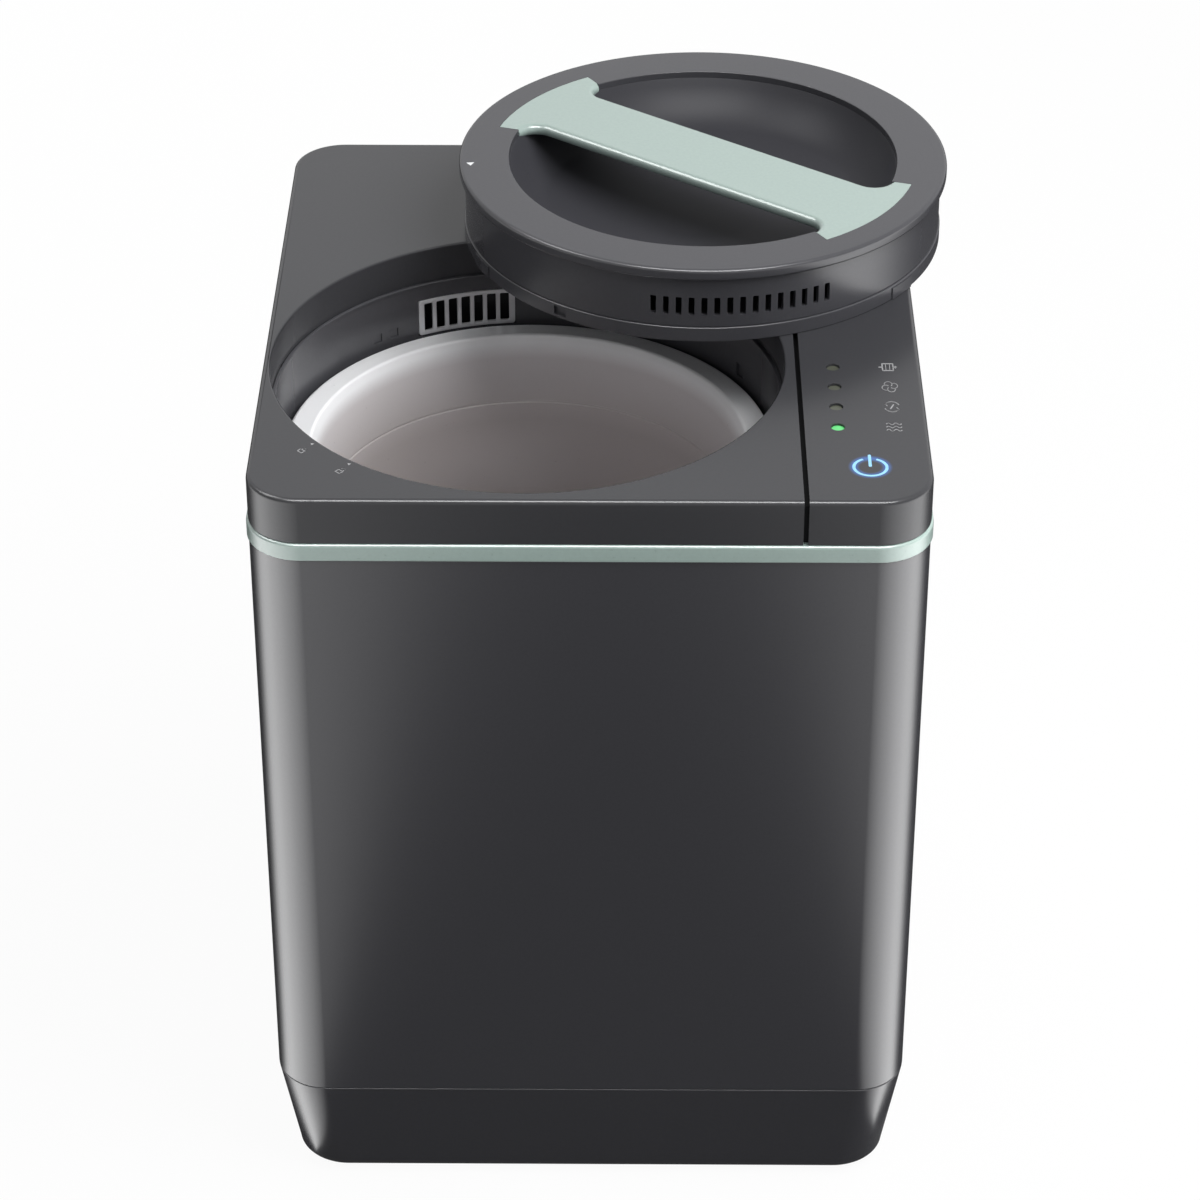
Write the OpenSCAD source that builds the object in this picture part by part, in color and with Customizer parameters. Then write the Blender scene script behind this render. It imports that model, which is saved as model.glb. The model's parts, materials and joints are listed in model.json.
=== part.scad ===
// Electric food waste composter: a tall box with a round chamber under a twist-in lid.
// The lid is off and stands on the deck at the rear right. X is right, Y is back, Z is up.
// The origin is on the floor, at the middle of the outline of the body and lid together.

/* [Body] */
// Width of the body
body_w = 270; // [262:1:300]
// Depth of the body
body_d = 310; // [300:1:340]
// Height of the deck above the floor
body_h = 350; // [344:1:380]
// Radius of the upright corners
corner_r = 22; // [14:1:28]
// Wall of the outer shell and covers
wall = 2.6; // [2:0.1:2.6]
// Fit between covers that slip into each other
fit = 0.3; // [0.2:0.05:0.5]
// Gap at a seat where one piece rests close to another
seat_gap = 0.3; // [0.2:0.05:0.5]

/* [Base and band] */
// Height of the base moulding
base_deep = 51; // [40:1:60]
// Space under the base
foot_gap = 3; // [2:0.5:6]
// How far the base sides run in at the bottom
base_taper = 7; // [3:0.5:12]
// Radius of the rounding along the bottom edge
base_round = 5; // [4:0.5:9]
// Wall of the base moulding
base_wall = 3; // [2.4:0.2:4]
// Depth of the covers above the band
deck_deep = 20; // [17:1:26]
// Height of the mint band
band_h = 7.5; // [5:0.5:12]
// How far the band stands proud of the body
band_proud = 0.8; // [0.4:0.1:1.5]
// Thickness of the deck
deck_t = 3; // [2.4:0.2:4]
// Rounding along the deck's edge
deck_round = 2; // [1:0.5:2.5]

/* [Opening] */
// From the body's front to the round opening in the deck
front_edge = 6.4; // [6:0.1:9]
// From the body's left side to the opening
left_edge = 2.7; // [2.6:0.1:6]
// From the opening to the body's back, for the fan and filters
rear_room = 92; // [92:0.5:100]
// From the opening to the body's right side, for the controls
right_room = 55.7; // [55.7:0.1:62]
// Depth of the smooth wall under the deck
skirt_deep = 16; // [14:0.5:17]
// Thickness of that wall
skirt_t = 2.4; // [1.8:0.2:3]

/* [Chamber] */
// How far the liner stands in from the opening's edge
mouth_step = 1.6; // [1.2:0.1:2]
// Thickness of the liner
liner_t = 1.4; // [1:0.1:1.5]
// Depth of the step below the deck
step_deep = 54; // [50:1:58]
// Gap between the bucket's wall and the liner
liner_gap = 3.5; // [2.5:0.5:4]
// Radius of the hole in the liner's floor
liner_hole_r = 16; // [14:1:20]
// Depth of the recessed panel in the liner's wall
panel_cut = 0.5; // [0.3:0.1:0.6]

/* [Grille] */
// Number of slots
grille_n = 7; // [5:1:9]
// Distance from slot to slot
grille_step = 5.73; // [5:0.01:6.2]
// Direction of the grille's middle, from the right
grille_dir = 106.4; // [104:0.2:112]
// Width of a slot
grille_slot = 4; // [3:0.2:4.4]
// Height of a slot
grille_slot_h = 13.4; // [10:0.2:14]
// Frame left round the slots
grille_edge = 3.4; // [2:0.2:4]
// Depth of the grille's top below the deck
grille_deep = 24; // [22:1:28]

/* [Bucket] */
// Room between the liner and the bucket's rim
rim_room = 2.2; // [1.2:0.1:4]
// Depth of the rim below the deck
rim_deep = 39; // [38:1:44]
// Width of the rim
rim_w = 12.5; // [12:0.5:16]
// How far the bucket runs in towards its floor
bucket_taper = 13.5; // [10:0.5:18]
// Depth of the bucket inside
bucket_deep = 104; // [90:1:110]
// Wall of the bucket
bucket_t = 1.8; // [1.4:0.2:2.2]
// Space under the bucket's floor for the coupling
bucket_under = 10.7; // [10:0.1:13]

/* [Grinder] */
// Room between the lower arms and the bucket's wall
arm_room = 6; // [4:1:20]
// How much shorter the upper arms are
arm_less = 10; // [2:1:30]
// Height of an arm
arm_h = 7; // [5:0.5:8]
// Space above and below a fixed bar
bar_gap = 3; // [2:0.5:5]
// Height of a fixed bar
bar_h = 6; // [4:0.5:8]
// Radius of the grinder's shaft and of the drive shaft
shaft_r = 5; // [4:0.5:6]
// Running clearance of shafts in their bores
run_gap = 0.05; // [0.03:0.01:0.08]
// Corner radius of the hexagon coupling
hex_r = 7; // [6:0.5:8]
// Clearance of the socket round the hexagon's corners
hex_gap = 0.8; // [0.5:0.05:1]

/* [Lid] */
// From the lid's centre to the body's right side
lid_right = 88; // [83:1:95]
// From the lid's centre to the body's back
lid_back = 80; // [75:1:85]
// Height of the lid
lid_h = 34.4; // [32:0.2:38]
// Room between the lid's rim and the opening's edge
lid_room = 0.5; // [0.3:0.1:1.3]
// How far the rim stands over the lid's side
rim_over = 2.5; // [2.3:0.1:4]
// Room between the collar and the liner
collar_room = 0.8; // [0.7:0.1:1.2]
// Height of the collar
lid_collar_h = 6.5; // [5:0.5:8]
// Height of the rim
lid_rim_h = 5; // [4:0.5:7]
// Wall of the lid
lid_t = 2.2; // [1.8:0.2:2.6]
// Thickness of the lid's top
lid_top_t = 3; // [2.4:0.2:3.6]
// Width of the ring round the bowl
ring_w = 21.5; // [19:0.5:25]
// Depth of the bowl
bowl_deep = 27; // [22:0.5:27]
// Rounding between the bowl's side and floor
bowl_round = 23; // [16:1:24]
// Number of slots in the lid's side
lid_slots = 15; // [9:2:19]
// Distance from slot to slot
lid_slot_step = 5.35; // [4.6:0.05:5.8]
// Width of a slot
lid_slot_w = 2.5; // [1.8:0.1:3]
// Height of a slot
lid_slot_h = 8.2; // [6:0.2:9]
// Direction of the slots' middle, from the right
lid_slot_dir = -81.4; // [-95:0.2:-70]

/* [Handle] */
// Direction of the handle's long axis, from the right
handle_dir = -37; // [-60:1:-20]
// Width of the handle
handle_w = 39; // [30:1:46]
// Thickness of the handle over the bowl
handle_t = 5.4; // [4:0.2:7]
// How far the handle's ends reach into the ring
handle_in = 8.7; // [6:0.1:11]
// Half the angle that an end spans
handle_end_half = 20; // [18:1:24]
// Radius in the corners of the finger openings
handle_corner = 8; // [5:0.5:10]

/* [Control strip] */
// Width of the strip at the right
strip_w = 49.5; // [45:0.5:50]
// Width of the gap beside it
gap_w = 2; // [1:0.5:3]
// Depth of the gap
gap_deep = 3.5; // [2:0.5:5]
// From the strip's left edge to the lamps
lamp_in = 13.4; // [11:0.1:18]
// From the body's front to the first lamp
lamp_front = 57.6; // [54:0.1:66]
// Distance from lamp to lamp
lamp_pitch = 16.1; // [12:0.1:17]
// Radius of a lamp's lens
lamp_r = 2.8; // [2:0.1:3.4]
// Number of lamps
lamp_n = 4; // [3:1:4]
// From the strip's left edge to the power symbol
power_in = 24.8; // [21:0.1:28]
// From the body's front to the power symbol
power_front = 26.6; // [23:0.1:31]
// Outer radius of the power symbol
power_r = 7.1; // [5:0.1:9]
// Width of the power symbol's line
power_line = 1.2; // [0.8:0.1:2]

/* [Filters] */
// Width of a filter box
filter_w = 60; // [46:1:64]
// Height of a filter box
filter_h = 120; // [90:2:130]
// Depth of a filter box
filter_d = 58; // [40:1:60]
// Web between the two boxes
filter_web = 8; // [5:0.5:12]
// Height of the filters above the chassis plate
filter_rise = 10; // [8:1:18]
// Wall of a filter box
filter_t = 2; // [1.6:0.2:2.6]
// Wall of the frame that holds the boxes
frame_t = 2.4; // [2:0.2:3]
// Number of slots across a box
filter_slots = 9; // [5:1:9]

/* [Fan and duct] */
// Side of the square fan
fan_w = 60; // [50:1:60]
// Thickness of the fan
fan_t = 15; // [12:1:16]
// Number of fan blades
fan_blades = 7; // [5:1:9]
// Depth of the duct, front to back
duct_d = 13; // [10:0.5:13]
// Wall of the duct
duct_t = 2; // [1.6:0.2:2.4]

/* [Drive] */
// Module of the gear teeth
tooth_m = 1.5; // [1.4:0.1:1.6]
// Teeth on the drive gear
gear_teeth = 60; // [54:1:64]
// Teeth on the motor's pinion
pinion_teeth = 12; // [12:1:14]
// Width of the gears
gear_w = 11; // [8:1:12]
// Direction of the motor from the drive shaft
motor_dir = 45; // [30:5:60]
// Radius of the motor
motor_r = 35; // [28:1:40]
// Height of the motor
motor_h = 58; // [44:1:62]
// Radius of the motor's shaft
motor_shaft_r = 4; // [3:0.5:4.5]
// Height of the posts between the chassis plate and the heater
post_h = 35.8; // [34:0.1:38]
// Thickness of the chassis plate
chassis_t = 2; // [1.5:0.5:3]
// Height of the gearbox
gearbox_h = 34; // [32:1:36]
// Wall of the gearbox
gearbox_t = 3; // [2.4:0.2:4]

/* [Heater] */
// Thickness of the heater plate
heater_t = 5; // [4:0.5:6]
// How far the heater plate's edge is inside the bucket's floor
heater_less = 0; // [0:1:8]
// From the heater plate's edge to the ring of heating tube
element_in = 14; // [13:1:18]
// Radius of the heating tube
element_r = 3.3; // [2.5:0.1:4]
// Thickness of the insulation round the chamber
jacket_t = 5; // [3:0.5:6]

/* [Feet and inlet] */
// Radius of a rubber foot
foot_r = 10; // [7:0.5:12]
// Depth of a foot's pocket in the base
foot_pocket = 2; // [1:0.2:2.4]
// From the body's side to a foot and its pillar
pillar_side = 35; // [35:1:41]
// From the body's front or back to a foot and its pillar
pillar_front = 37; // [37:1:43]
// Radius of a pillar
pillar_r = 7; // [5:0.5:8]
// Width of the power inlet
inlet_w = 27; // [24:0.5:30]
// Height of the power inlet
inlet_h = 20; // [18:0.5:24]
// Depth of the power inlet's socket
inlet_deep = 16; // [12:0.5:18]
// From the body's right side to the power inlet
inlet_side = 51; // [40:1:65]
// Height of the power inlet above the floor
inlet_z = 92; // [80:1:110]

/* [Hidden] */
$fn = 96;
eps = 0.01;
far = 500;

// Colours
graphite = [0.24, 0.24, 0.26];
gloss = [0.18, 0.18, 0.20];
mint = [0.71, 0.79, 0.75];
black = [0.06, 0.06, 0.07];
steel = [0.66, 0.67, 0.69];
pale = [0.80, 0.81, 0.83];
brass = [0.75, 0.60, 0.32];
rubber = [0.10, 0.10, 0.10];
board_green = [0.10, 0.32, 0.20];
wool = [0.86, 0.84, 0.76];
carbon = [0.12, 0.12, 0.12];
blue = [0.55, 0.78, 1.0];
olive = [0.30, 0.31, 0.27];
green = [0.35, 0.75, 0.40];

// Strip, opening and chamber
strip_x = body_w / 2 - strip_w;
gap_x = strip_x - gap_w;
lamp_x = strip_x + lamp_in;
lamp_y = (lamp_n - 1) * lamp_pitch + lamp_front - body_d / 2;
power_x = strip_x + power_in;
power_y = power_front - body_d / 2;
open_r = min(body_d - front_edge - rear_room, body_w - left_edge - right_room) / 2;
open_x = left_edge + open_r - body_w / 2;
open_y = front_edge + open_r - body_d / 2;
liner_r = open_r - mouth_step;
rim_r = liner_r - rim_room;
bucket_r = rim_r - rim_w;
bucket_floor_r = bucket_r - bucket_taper;
arm_reach = bucket_floor_r - arm_room;
arm_reach_top = arm_reach - arm_less;
heater_r = bucket_floor_r - heater_less;
element_ring_r = heater_r - element_in;
pillar_x = body_w / 2 - pillar_side;
pillar_y = body_d / 2 - pillar_front;
inlet_x = body_w / 2 - inlet_side;

// Lid, where it stands on the deck
lid_x = body_w / 2 - lid_right;
lid_y = body_d / 2 - lid_back;
lid_rim_r = open_r - lid_room;
lid_skirt_r = lid_rim_r - rim_over;
lid_collar_r = liner_r - collar_room;
bowl_r = lid_rim_r - ring_w;
handle_end_r = bowl_r + handle_in;
lid_slot_pitch = lid_slot_step / lid_skirt_r * 180 / PI;

// Levels above the floor
band_top = body_h - deck_deep;
band_z = band_top - band_h;
seam_z = foot_gap + base_deep;
skirt_z = body_h - skirt_deep;
step_z = body_h - step_deep;
rim_z = body_h - rim_deep;
rim_turn = 2;
bucket_floor_z = rim_z - bucket_deep;
bucket_z = bucket_floor_z - bucket_t - bucket_under;
liner_floor_z = bucket_z - seat_gap;
heater_top = liner_floor_z - liner_t;
heater_z = heater_top - heater_t;
chassis_z = heater_z - post_h - chassis_t;
filter_z = chassis_z + chassis_t + filter_rise;
gearbox_z = chassis_z - gearbox_h;
cover_t = 4;
gear_z = gearbox_z + 11;
motor_z = gearbox_z - motor_h;

// The body's middle seen from the origin, so that the origin is under the whole outline
reach_x = max(body_w / 2 + band_proud, lid_x + lid_rim_r);
reach_y = max(body_d / 2 + band_proud, lid_y + lid_rim_r);
mid_x = (reach_x - body_w / 2 - band_proud) / 2;
mid_y = (reach_y - body_d / 2 - band_proud) / 2;

// Liner and bucket cones, as radius at a height
cone_slope = (bucket_r - bucket_floor_r) / bucket_deep;
function bucket_in(z) = bucket_floor_r + cone_slope * (z - bucket_floor_z);
function liner_in(z) = bucket_in(z) + bucket_t + liner_gap;

// Gear pair
gear_r = tooth_m * gear_teeth / 2;
pinion_r = tooth_m * pinion_teeth / 2;
motor_off = gear_r + pinion_r;
motor_x = open_x + motor_off * cos(motor_dir);
motor_y = open_y + motor_off * sin(motor_dir);

// Filters, fan and duct, from the rear wall forwards
rear_in = body_d / 2 - wall;
bay_w = filter_w + 2 * fit;
bay_h = filter_h + 2 * fit;
bay_x = (filter_w + filter_web) / 2;
frame_w = 2 * bay_x + bay_w + 2 * frame_t;
filter_front = body_d / 2 - filter_d;
plenum_d = 7;
frame_front = filter_front - plenum_d - frame_t;
fan_front = frame_front - fan_t;
fan_z = filter_z + filter_h / 2;
fan_hole_r = fan_w / 2 - 2.5;
duct_front = fan_front - duct_d;

// Grille and panel in the liner's wall
grille_pitch = grille_step / liner_r * 180 / PI;
grille_half = grille_n * grille_pitch / 2 + grille_edge / liner_r * 180 / PI / 2;
grille_top = body_h - grille_deep;
grille_h = grille_slot_h + grille_edge;
grille_z = grille_top - grille_h;
panel_from = grille_dir - grille_half;
panel_to = 143;
bracket_dirs = [125.2, 129.8, 31];
bracket_half = 1.2;
bracket_h = 4;
bracket_z = body_h - 36;

// Duct, from the grille's sides to the fan
duct_right = fan_w / 2 + duct_t;
duct_side = 7;
duct_left = open_x + (liner_r + liner_t) * cos(grille_dir + grille_half) - duct_side;
duct_inner_x = open_x + (liner_r + liner_t) * cos(grille_dir - grille_half) + duct_side;
duct_top = body_h - grille_deep + 3;

// Lid
lid_z = body_h;
lid_floor_z = lid_z + lid_h - bowl_deep;
lug_dirs = [-156, -36, 84];
notch_turn = 30;
lug_half = 4;
flange_w = 6.4;
flange_r = lid_collar_r - flange_w;

// Board under the control strip
panel_board_z = body_h - deck_t - 8;

module place() {
  translate([-mid_x, -mid_y, 0]) children();
}

module at_opening() {
  place() translate([open_x, open_y, 0]) children();
}

module at_lid() {
  place() translate([lid_x, lid_y, lid_z]) children();
}

module at_motor() {
  place() translate([motor_x, motor_y, 0]) children();
}

// Flat shapes and rings
module rounded_rect(w, d, r) {
  square([w - 2 * r, d], center = true);
  square([w, d - 2 * r], center = true);
  for (sx = [-1, 1], sy = [-1, 1]) translate([sx * (w / 2 - r), sy * (d / 2 - r)]) circle(r);
}

module plan(inset, z0, z1) {
  translate([0, 0, z0]) linear_extrude(z1 - z0)
    rounded_rect(body_w - 2 * inset, body_d - 2 * inset, max(corner_r - inset, 3));
}

module ring(outer, inner, z0, z1) {
  translate([0, 0, z0]) linear_extrude(z1 - z0) difference() {
    circle(outer);
    circle(inner);
  }
}

module block(x0, x1, y0, y1, z0, z1) {
  translate([x0, y0, z0]) cube([x1 - x0, y1 - y0, z1 - z0]);
}

// A piece of a ring between two directions
module arc_band(outer, inner, z0, z1, from, to) {
  rotate([0, 0, from]) rotate_extrude(angle = to - from)
    translate([inner, z0]) square([outer - inner, z1 - z0]);
}

module four_corners(x, y) {
  for (sx = [-1, 1], sy = [-1, 1]) translate([sx * x, sy * y, 0]) children();
}

// Body shell, base and band
module body_shell() {
  color(graphite) place() difference() {
    union() {
      difference() {
        plan(0, seam_z, band_z);
        plan(wall, seam_z - 1, band_z + 1);
      }
      board_bosses();
    }
    filter_window();
    block(inlet_x - inlet_w / 2, inlet_x + inlet_w / 2, rear_in - 1, far,
      inlet_z - inlet_h / 2, inlet_z + inlet_h / 2);
    rear_louvres();
  }
}

module filter_window() {
  block(-frame_w / 2 - fit, frame_w / 2 + fit, rear_in - 1, far,
    filter_z - frame_t - 2 * fit, filter_z + filter_h + frame_t + 2 * fit);
}

louvre_n = 12;
louvre_pitch = 8;
louvre_w = 3;
louvre_h = 30;
module rear_louvres() {
  for (i = [0 : louvre_n - 1])
    translate([inlet_x - 50 - i * louvre_pitch, rear_in - 1, inlet_z - louvre_h / 2])
      cube([louvre_w, wall + 2, louvre_h]);
}

board_x = body_w / 2 - wall - 6;
board_y = [-10, 70];
board_z = [196, 286];
module board_bosses() {
  for (y = [board_y[0] + 5, board_y[1] - 5], z = [board_z[0] + 5, board_z[1] - 5])
    translate([board_x, y, z]) rotate([0, 90, 0]) cylinder(r = 3, h = 6 + wall / 2);
}

// The base outline runs in towards the bottom and rolls under
module base_form(inset, low) {
  hull() {
    plan(inset, seam_z - eps, seam_z);
    for (a = [0 : 18 : 90])
      plan(inset + base_taper + (base_round - inset) * (1 - cos(a)),
        foot_gap + low + (base_round - inset) * (1 - sin(a)),
        foot_gap + low + (base_round - inset) * (1 - sin(a)) + eps, $fn = 40);
  }
}

lip_h = 6;
lip_t = 1.6;
module base_tray() {
  color(graphite) place() difference() {
    union() {
      difference() {
        base_form(0, 0);
        translate([0, 0, eps]) base_form(base_wall, base_wall);
      }
      difference() {
        plan(wall + fit, seam_z - 5, seam_z + lip_h);
        plan(wall + fit + lip_t, seam_z - 6, seam_z + lip_h + 1);
      }
      four_corners(pillar_x, pillar_y)
        translate([0, 0, foot_gap + foot_pocket]) cylinder(r = pillar_r, h = chassis_z - foot_gap - foot_pocket);
    }
    four_corners(pillar_x, pillar_y) {
      translate([0, 0, -1]) cylinder(r = foot_r + fit, h = foot_gap + foot_pocket + 1);
      translate([0, 0, chassis_z - screw_deep - 1]) cylinder(r = screw_r, h = far);
    }
    base_slots();
  }
}

slot_n = 9;
slot_step = 8;
slot_long = 60;
module base_slots() {
  for (i = [0 : slot_n - 1])
    translate([motor_x + (i - slot_n / 2) * slot_step, motor_y - slot_long / 2, 0])
      cube([3, slot_long, foot_gap + base_wall + 2]);
}

module trim_band() {
  color(mint) place() difference() {
    plan(-band_proud, band_z, band_top);
    plan(wall, band_z - 1, band_top + 1);
  }
}

// Covers above the band
module deck_form() {
  hull() {
    plan(0, band_top, body_h - deck_round, $fn = 64);
    for (a = [30 : 30 : 90])
      plan(deck_round * (1 - cos(a)), body_h - deck_round + deck_round * sin(a) - eps,
        body_h - deck_round + deck_round * sin(a), $fn = 64);
  }
}

module deck_cover() {
  color(graphite) place() difference() {
    intersection() {
      deck_form();
      block(-far, gap_x, -far, far, 0, far);
    }
    intersection() {
      plan(wall, band_top - 1, skirt_z);
      block(-far, gap_x - wall, -far, far, 0, far);
    }
    difference() {
      intersection() {
        plan(wall, skirt_z - eps, body_h - deck_t);
        block(-far, gap_x - wall, -far, far, 0, far);
      }
      translate([open_x, open_y, 0]) cylinder(r = open_r + skirt_t, h = far);
    }
    translate([open_x, open_y, 0]) cylinder(r = open_r, h = far);
  }
}

module control_cover() {
  color(graphite) place() difference() {
    union() {
      difference() {
        intersection() {
          deck_form();
          block(strip_x, far, -far, far, 0, far);
        }
        intersection() {
          plan(wall, band_top - 1, body_h - deck_t);
          block(strip_x + wall, far, -far, far, 0, far);
        }
      }
      control_pegs();
    }
    for (i = [0 : lamp_n - 1]) translate([lamp_x, lamp_y - i * lamp_pitch, body_h - deck_t - 1])
      cylinder(r = lamp_r + run_gap, h = far);
    translate([power_x, power_y, body_h - deck_t - 1]) linear_extrude(far) power_shape(run_gap);
  }
}

control_from = [strip_x + wall + 1.5, -body_d / 2 + wall + 4];
control_past = 20;
control_to = [body_w / 2 - wall - 2, lamp_y + control_past];
module control_pegs() {
  for (x = [control_from[0] + 4, control_to[0] - 4], y = [control_from[1] + 12, control_to[1] - 4])
    translate([x, y, panel_board_z]) cylinder(r = 2.5, h = body_h - deck_t - panel_board_z + eps);
}

power_gap = 24;
module power_shape(grow) {
  difference() {
    circle(power_r + grow);
    circle(power_r - power_line - grow);
    polygon([[0, 0], [-far, far / tan(power_gap)], [far, far / tan(power_gap)]]);
  }
  translate([-power_line / 2 - grow, power_r * 0.04 - grow])
    square([power_line + 2 * grow, power_r * 1.3 + 2 * grow]);
}

module power_symbol() {
  color(blue) place() translate([power_x, power_y, body_h - deck_t]) linear_extrude(deck_t)
    power_shape(0);
}

lens_sunk = 0.9;
lens_deep = deck_t + 1.5;
module lens(i) {
  place() translate([lamp_x, lamp_y - i * lamp_pitch, body_h - lens_deep])
    cylinder(r = lamp_r, h = lens_deep - lens_sunk);
}

module indicator_lenses() {
  color(olive) for (i = [0 : lamp_n - 2]) lens(i);
}

module lit_lens() {
  color(green) lens(lamp_n - 1);
}

module control_board() {
  color(board_green) place() {
    block(control_from[0], control_to[0], control_from[1] + 8, control_to[1],
      panel_board_z - 1.6, panel_board_z);
    for (i = [0 : lamp_n - 1]) translate([lamp_x, lamp_y - i * lamp_pitch, panel_board_z - eps])
      cylinder(r = 2.4, h = body_h - lens_deep - seat_gap - panel_board_z);
    translate([power_x, power_y, panel_board_z - eps])
      cylinder(r = power_r + 1.5, h = body_h - deck_t - seat_gap - panel_board_z);
  }
}

module gap_strip() {
  color(black) place() intersection() {
    plan(gap_deep, band_top, body_h - gap_deep);
    block(gap_x, strip_x, -far, far, 0, far);
  }
}

// Chamber: liner, grille, insulation and heater
module liner_shape() {
  rotate_extrude() polygon([
    [liner_hole_r, heater_top], [liner_in(liner_floor_z) + liner_t, heater_top],
    [liner_in(step_z - liner_t) + liner_t, step_z - liner_t], [liner_r + liner_t, step_z - liner_t],
    [liner_r + liner_t, skirt_z], [liner_r, skirt_z], [liner_r, step_z],
    [liner_in(step_z), step_z], [liner_in(liner_floor_z), liner_floor_z],
    [liner_hole_r, liner_floor_z]]);
}

liner_flange_w = 6;
flange_t = 2;
module chamber_liner() {
  color(gloss) difference() {
    union() {
      at_opening() liner_shape();
      intersection() {
        at_opening() ring(open_r + liner_flange_w, liner_r, skirt_z - flange_t, skirt_z);
        place() plan(wall + fit, 0, far);
        place() block(-far, gap_x - wall - fit, -far, far, 0, far);
      }
    }
    at_opening() {
      arc_band(liner_r + panel_cut, liner_r - 1, step_z + 5, skirt_z - 1, panel_from, panel_to);
      grille_window(fit / 2);
      for (a = bracket_dirs) arc_band(liner_r + panel_cut + 0.6, liner_r - 1, bracket_z, bracket_z + bracket_h,
        a - bracket_half, a + bracket_half);
      rotate([0, 0, switch_dir]) translate([liner_r - 1, 0, switch_z])
        rotate([0, 90, 0]) cylinder(r = plunger_r + fit, h = 4);
    }
  }
}

module grille_window(grow) {
  arc_band(liner_r + liner_t + 1, liner_r - 1, grille_z - grow, grille_top + grow,
    grille_dir - grille_half - grow * 0.5, grille_dir + grille_half + grow * 0.5);
}

module vent_grille() {
  color(steel) at_opening() difference() {
    arc_band(liner_r + liner_t, liner_r + 0.1, grille_z, grille_top,
      grille_dir - grille_half, grille_dir + grille_half);
    for (i = [0 : grille_n - 1])
      rotate([0, 0, grille_dir + (i - (grille_n - 1) / 2) * grille_pitch])
        translate([liner_r - 2, -grille_slot / 2, grille_z + grille_edge / 2])
          cube([liner_t + 4, grille_slot, grille_slot_h]);
  }
}

jacket_top = step_z - liner_t - 2;
jacket_z = liner_floor_z + 8;
module insulation_jacket() {
  color(wool) at_opening() rotate_extrude() polygon([
    [liner_in(jacket_z) + liner_t + seat_gap, jacket_z],
    [liner_in(jacket_z) + liner_t + seat_gap + jacket_t, jacket_z],
    [liner_in(jacket_top) + liner_t + seat_gap + jacket_t, jacket_top],
    [liner_in(jacket_top) + liner_t + seat_gap, jacket_top]]);
}

heater_hole_r = heater_r * 0.37;
element_sunk = 1.5;
module heater_plate() {
  color(steel) at_opening() difference() {
    ring(heater_r, heater_hole_r, heater_z, heater_top);
    element_ring(element_r + 0.2);
  }
}

module element_ring(r) {
  translate([0, 0, heater_z - element_r + element_sunk]) rotate_extrude()
    translate([element_ring_r, 0]) circle(r, $fn = 32);
}

module heating_element() {
  color(steel) at_opening() {
    element_ring(element_r);
    for (a = [-8, 8]) rotate([0, 0, a + 160])
      translate([element_ring_r, 0, heater_z - 16]) cylinder(r = element_r - 0.4, h = 14, $fn = 32);
  }
}

cutout_r = 8;
module thermal_cutouts() {
  color(steel) at_opening() for (a = [70, 250])
    rotate([0, 0, a]) translate([heater_hole_r + cutout_r + 2, 0, 0]) {
      translate([0, 0, heater_z - 6]) cylinder(r = cutout_r, h = 6);
      for (s = [-1, 1]) translate([s * cutout_r / 2 - 0.4, -2.5, heater_z - 12]) cube([0.8, 5, 6 + eps]);
    }
}

module heater_posts() {
  color(steel) at_opening() for (a = [30, 150, 270]) rotate([0, 0, a])
    translate([heater_r - 5, 0, chassis_z + chassis_t]) cylinder(r = 4, h = post_h);
}

// Chassis plate on the pillars, gearbox and motor under it
module chassis_plate() {
  color(steel) place() difference() {
    plan(wall + 2, chassis_z, chassis_z + chassis_t);
    translate([open_x, open_y, 0]) cylinder(r = shaft_r + 3, h = far);
    four_corners(pillar_x, pillar_y) cylinder(r = screw_r + run_gap, h = far);
  }
}

screw_r = 2;
screw_deep = 12;
module chassis_screws() {
  color(steel) place() four_corners(pillar_x, pillar_y) {
    translate([0, 0, chassis_z - screw_deep]) cylinder(r = screw_r - run_gap, h = screw_deep + chassis_t + eps);
    translate([0, 0, chassis_z + chassis_t]) cylinder(r1 = 4.2, r2 = 3.4, h = 2.6);
  }
}

module gearbox_outline(inset) {
  circle(gear_r + tooth_m + 3 + gearbox_t - inset);
  translate([motor_off * cos(motor_dir), motor_off * sin(motor_dir)])
    circle(pinion_r + tooth_m + 5 + gearbox_t - inset);
}

module gearbox_housing() {
  color(steel) at_opening() difference() {
    union() {
      difference() {
        translate([0, 0, gearbox_z]) linear_extrude(gearbox_h - cover_t) gearbox_outline(0);
        translate([0, 0, gearbox_z + gearbox_t]) linear_extrude(far) gearbox_outline(gearbox_t);
      }
      translate([0, 0, gearbox_z + 1]) cylinder(r = shaft_r + 4, h = 8);
    }
    translate([0, 0, gearbox_z + 2]) cylinder(r = shaft_r + run_gap, h = far);
    translate([motor_off * cos(motor_dir), motor_off * sin(motor_dir), 0])
      cylinder(r = motor_shaft_r + 2, h = far);
  }
}

module gearbox_cover() {
  color(steel) at_opening() difference() {
    translate([0, 0, chassis_z - cover_t]) linear_extrude(cover_t) gearbox_outline(0);
    cylinder(r = shaft_r + run_gap, h = far);
  }
}

// Involute flank angle at a radius, in degrees
function inv_deg(r, rb) = sqrt(pow(r / rb, 2) - 1) * 180 / PI - acos(rb / r);
function half_tooth(r, n) =
  let (rp = tooth_m * n / 2, rb = rp * cos(20), rr = max(r, rb + eps))
  88 / n * tooth_share + inv_deg(rp, rb) - inv_deg(rr, rb);
tooth_share = 0.9;

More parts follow.
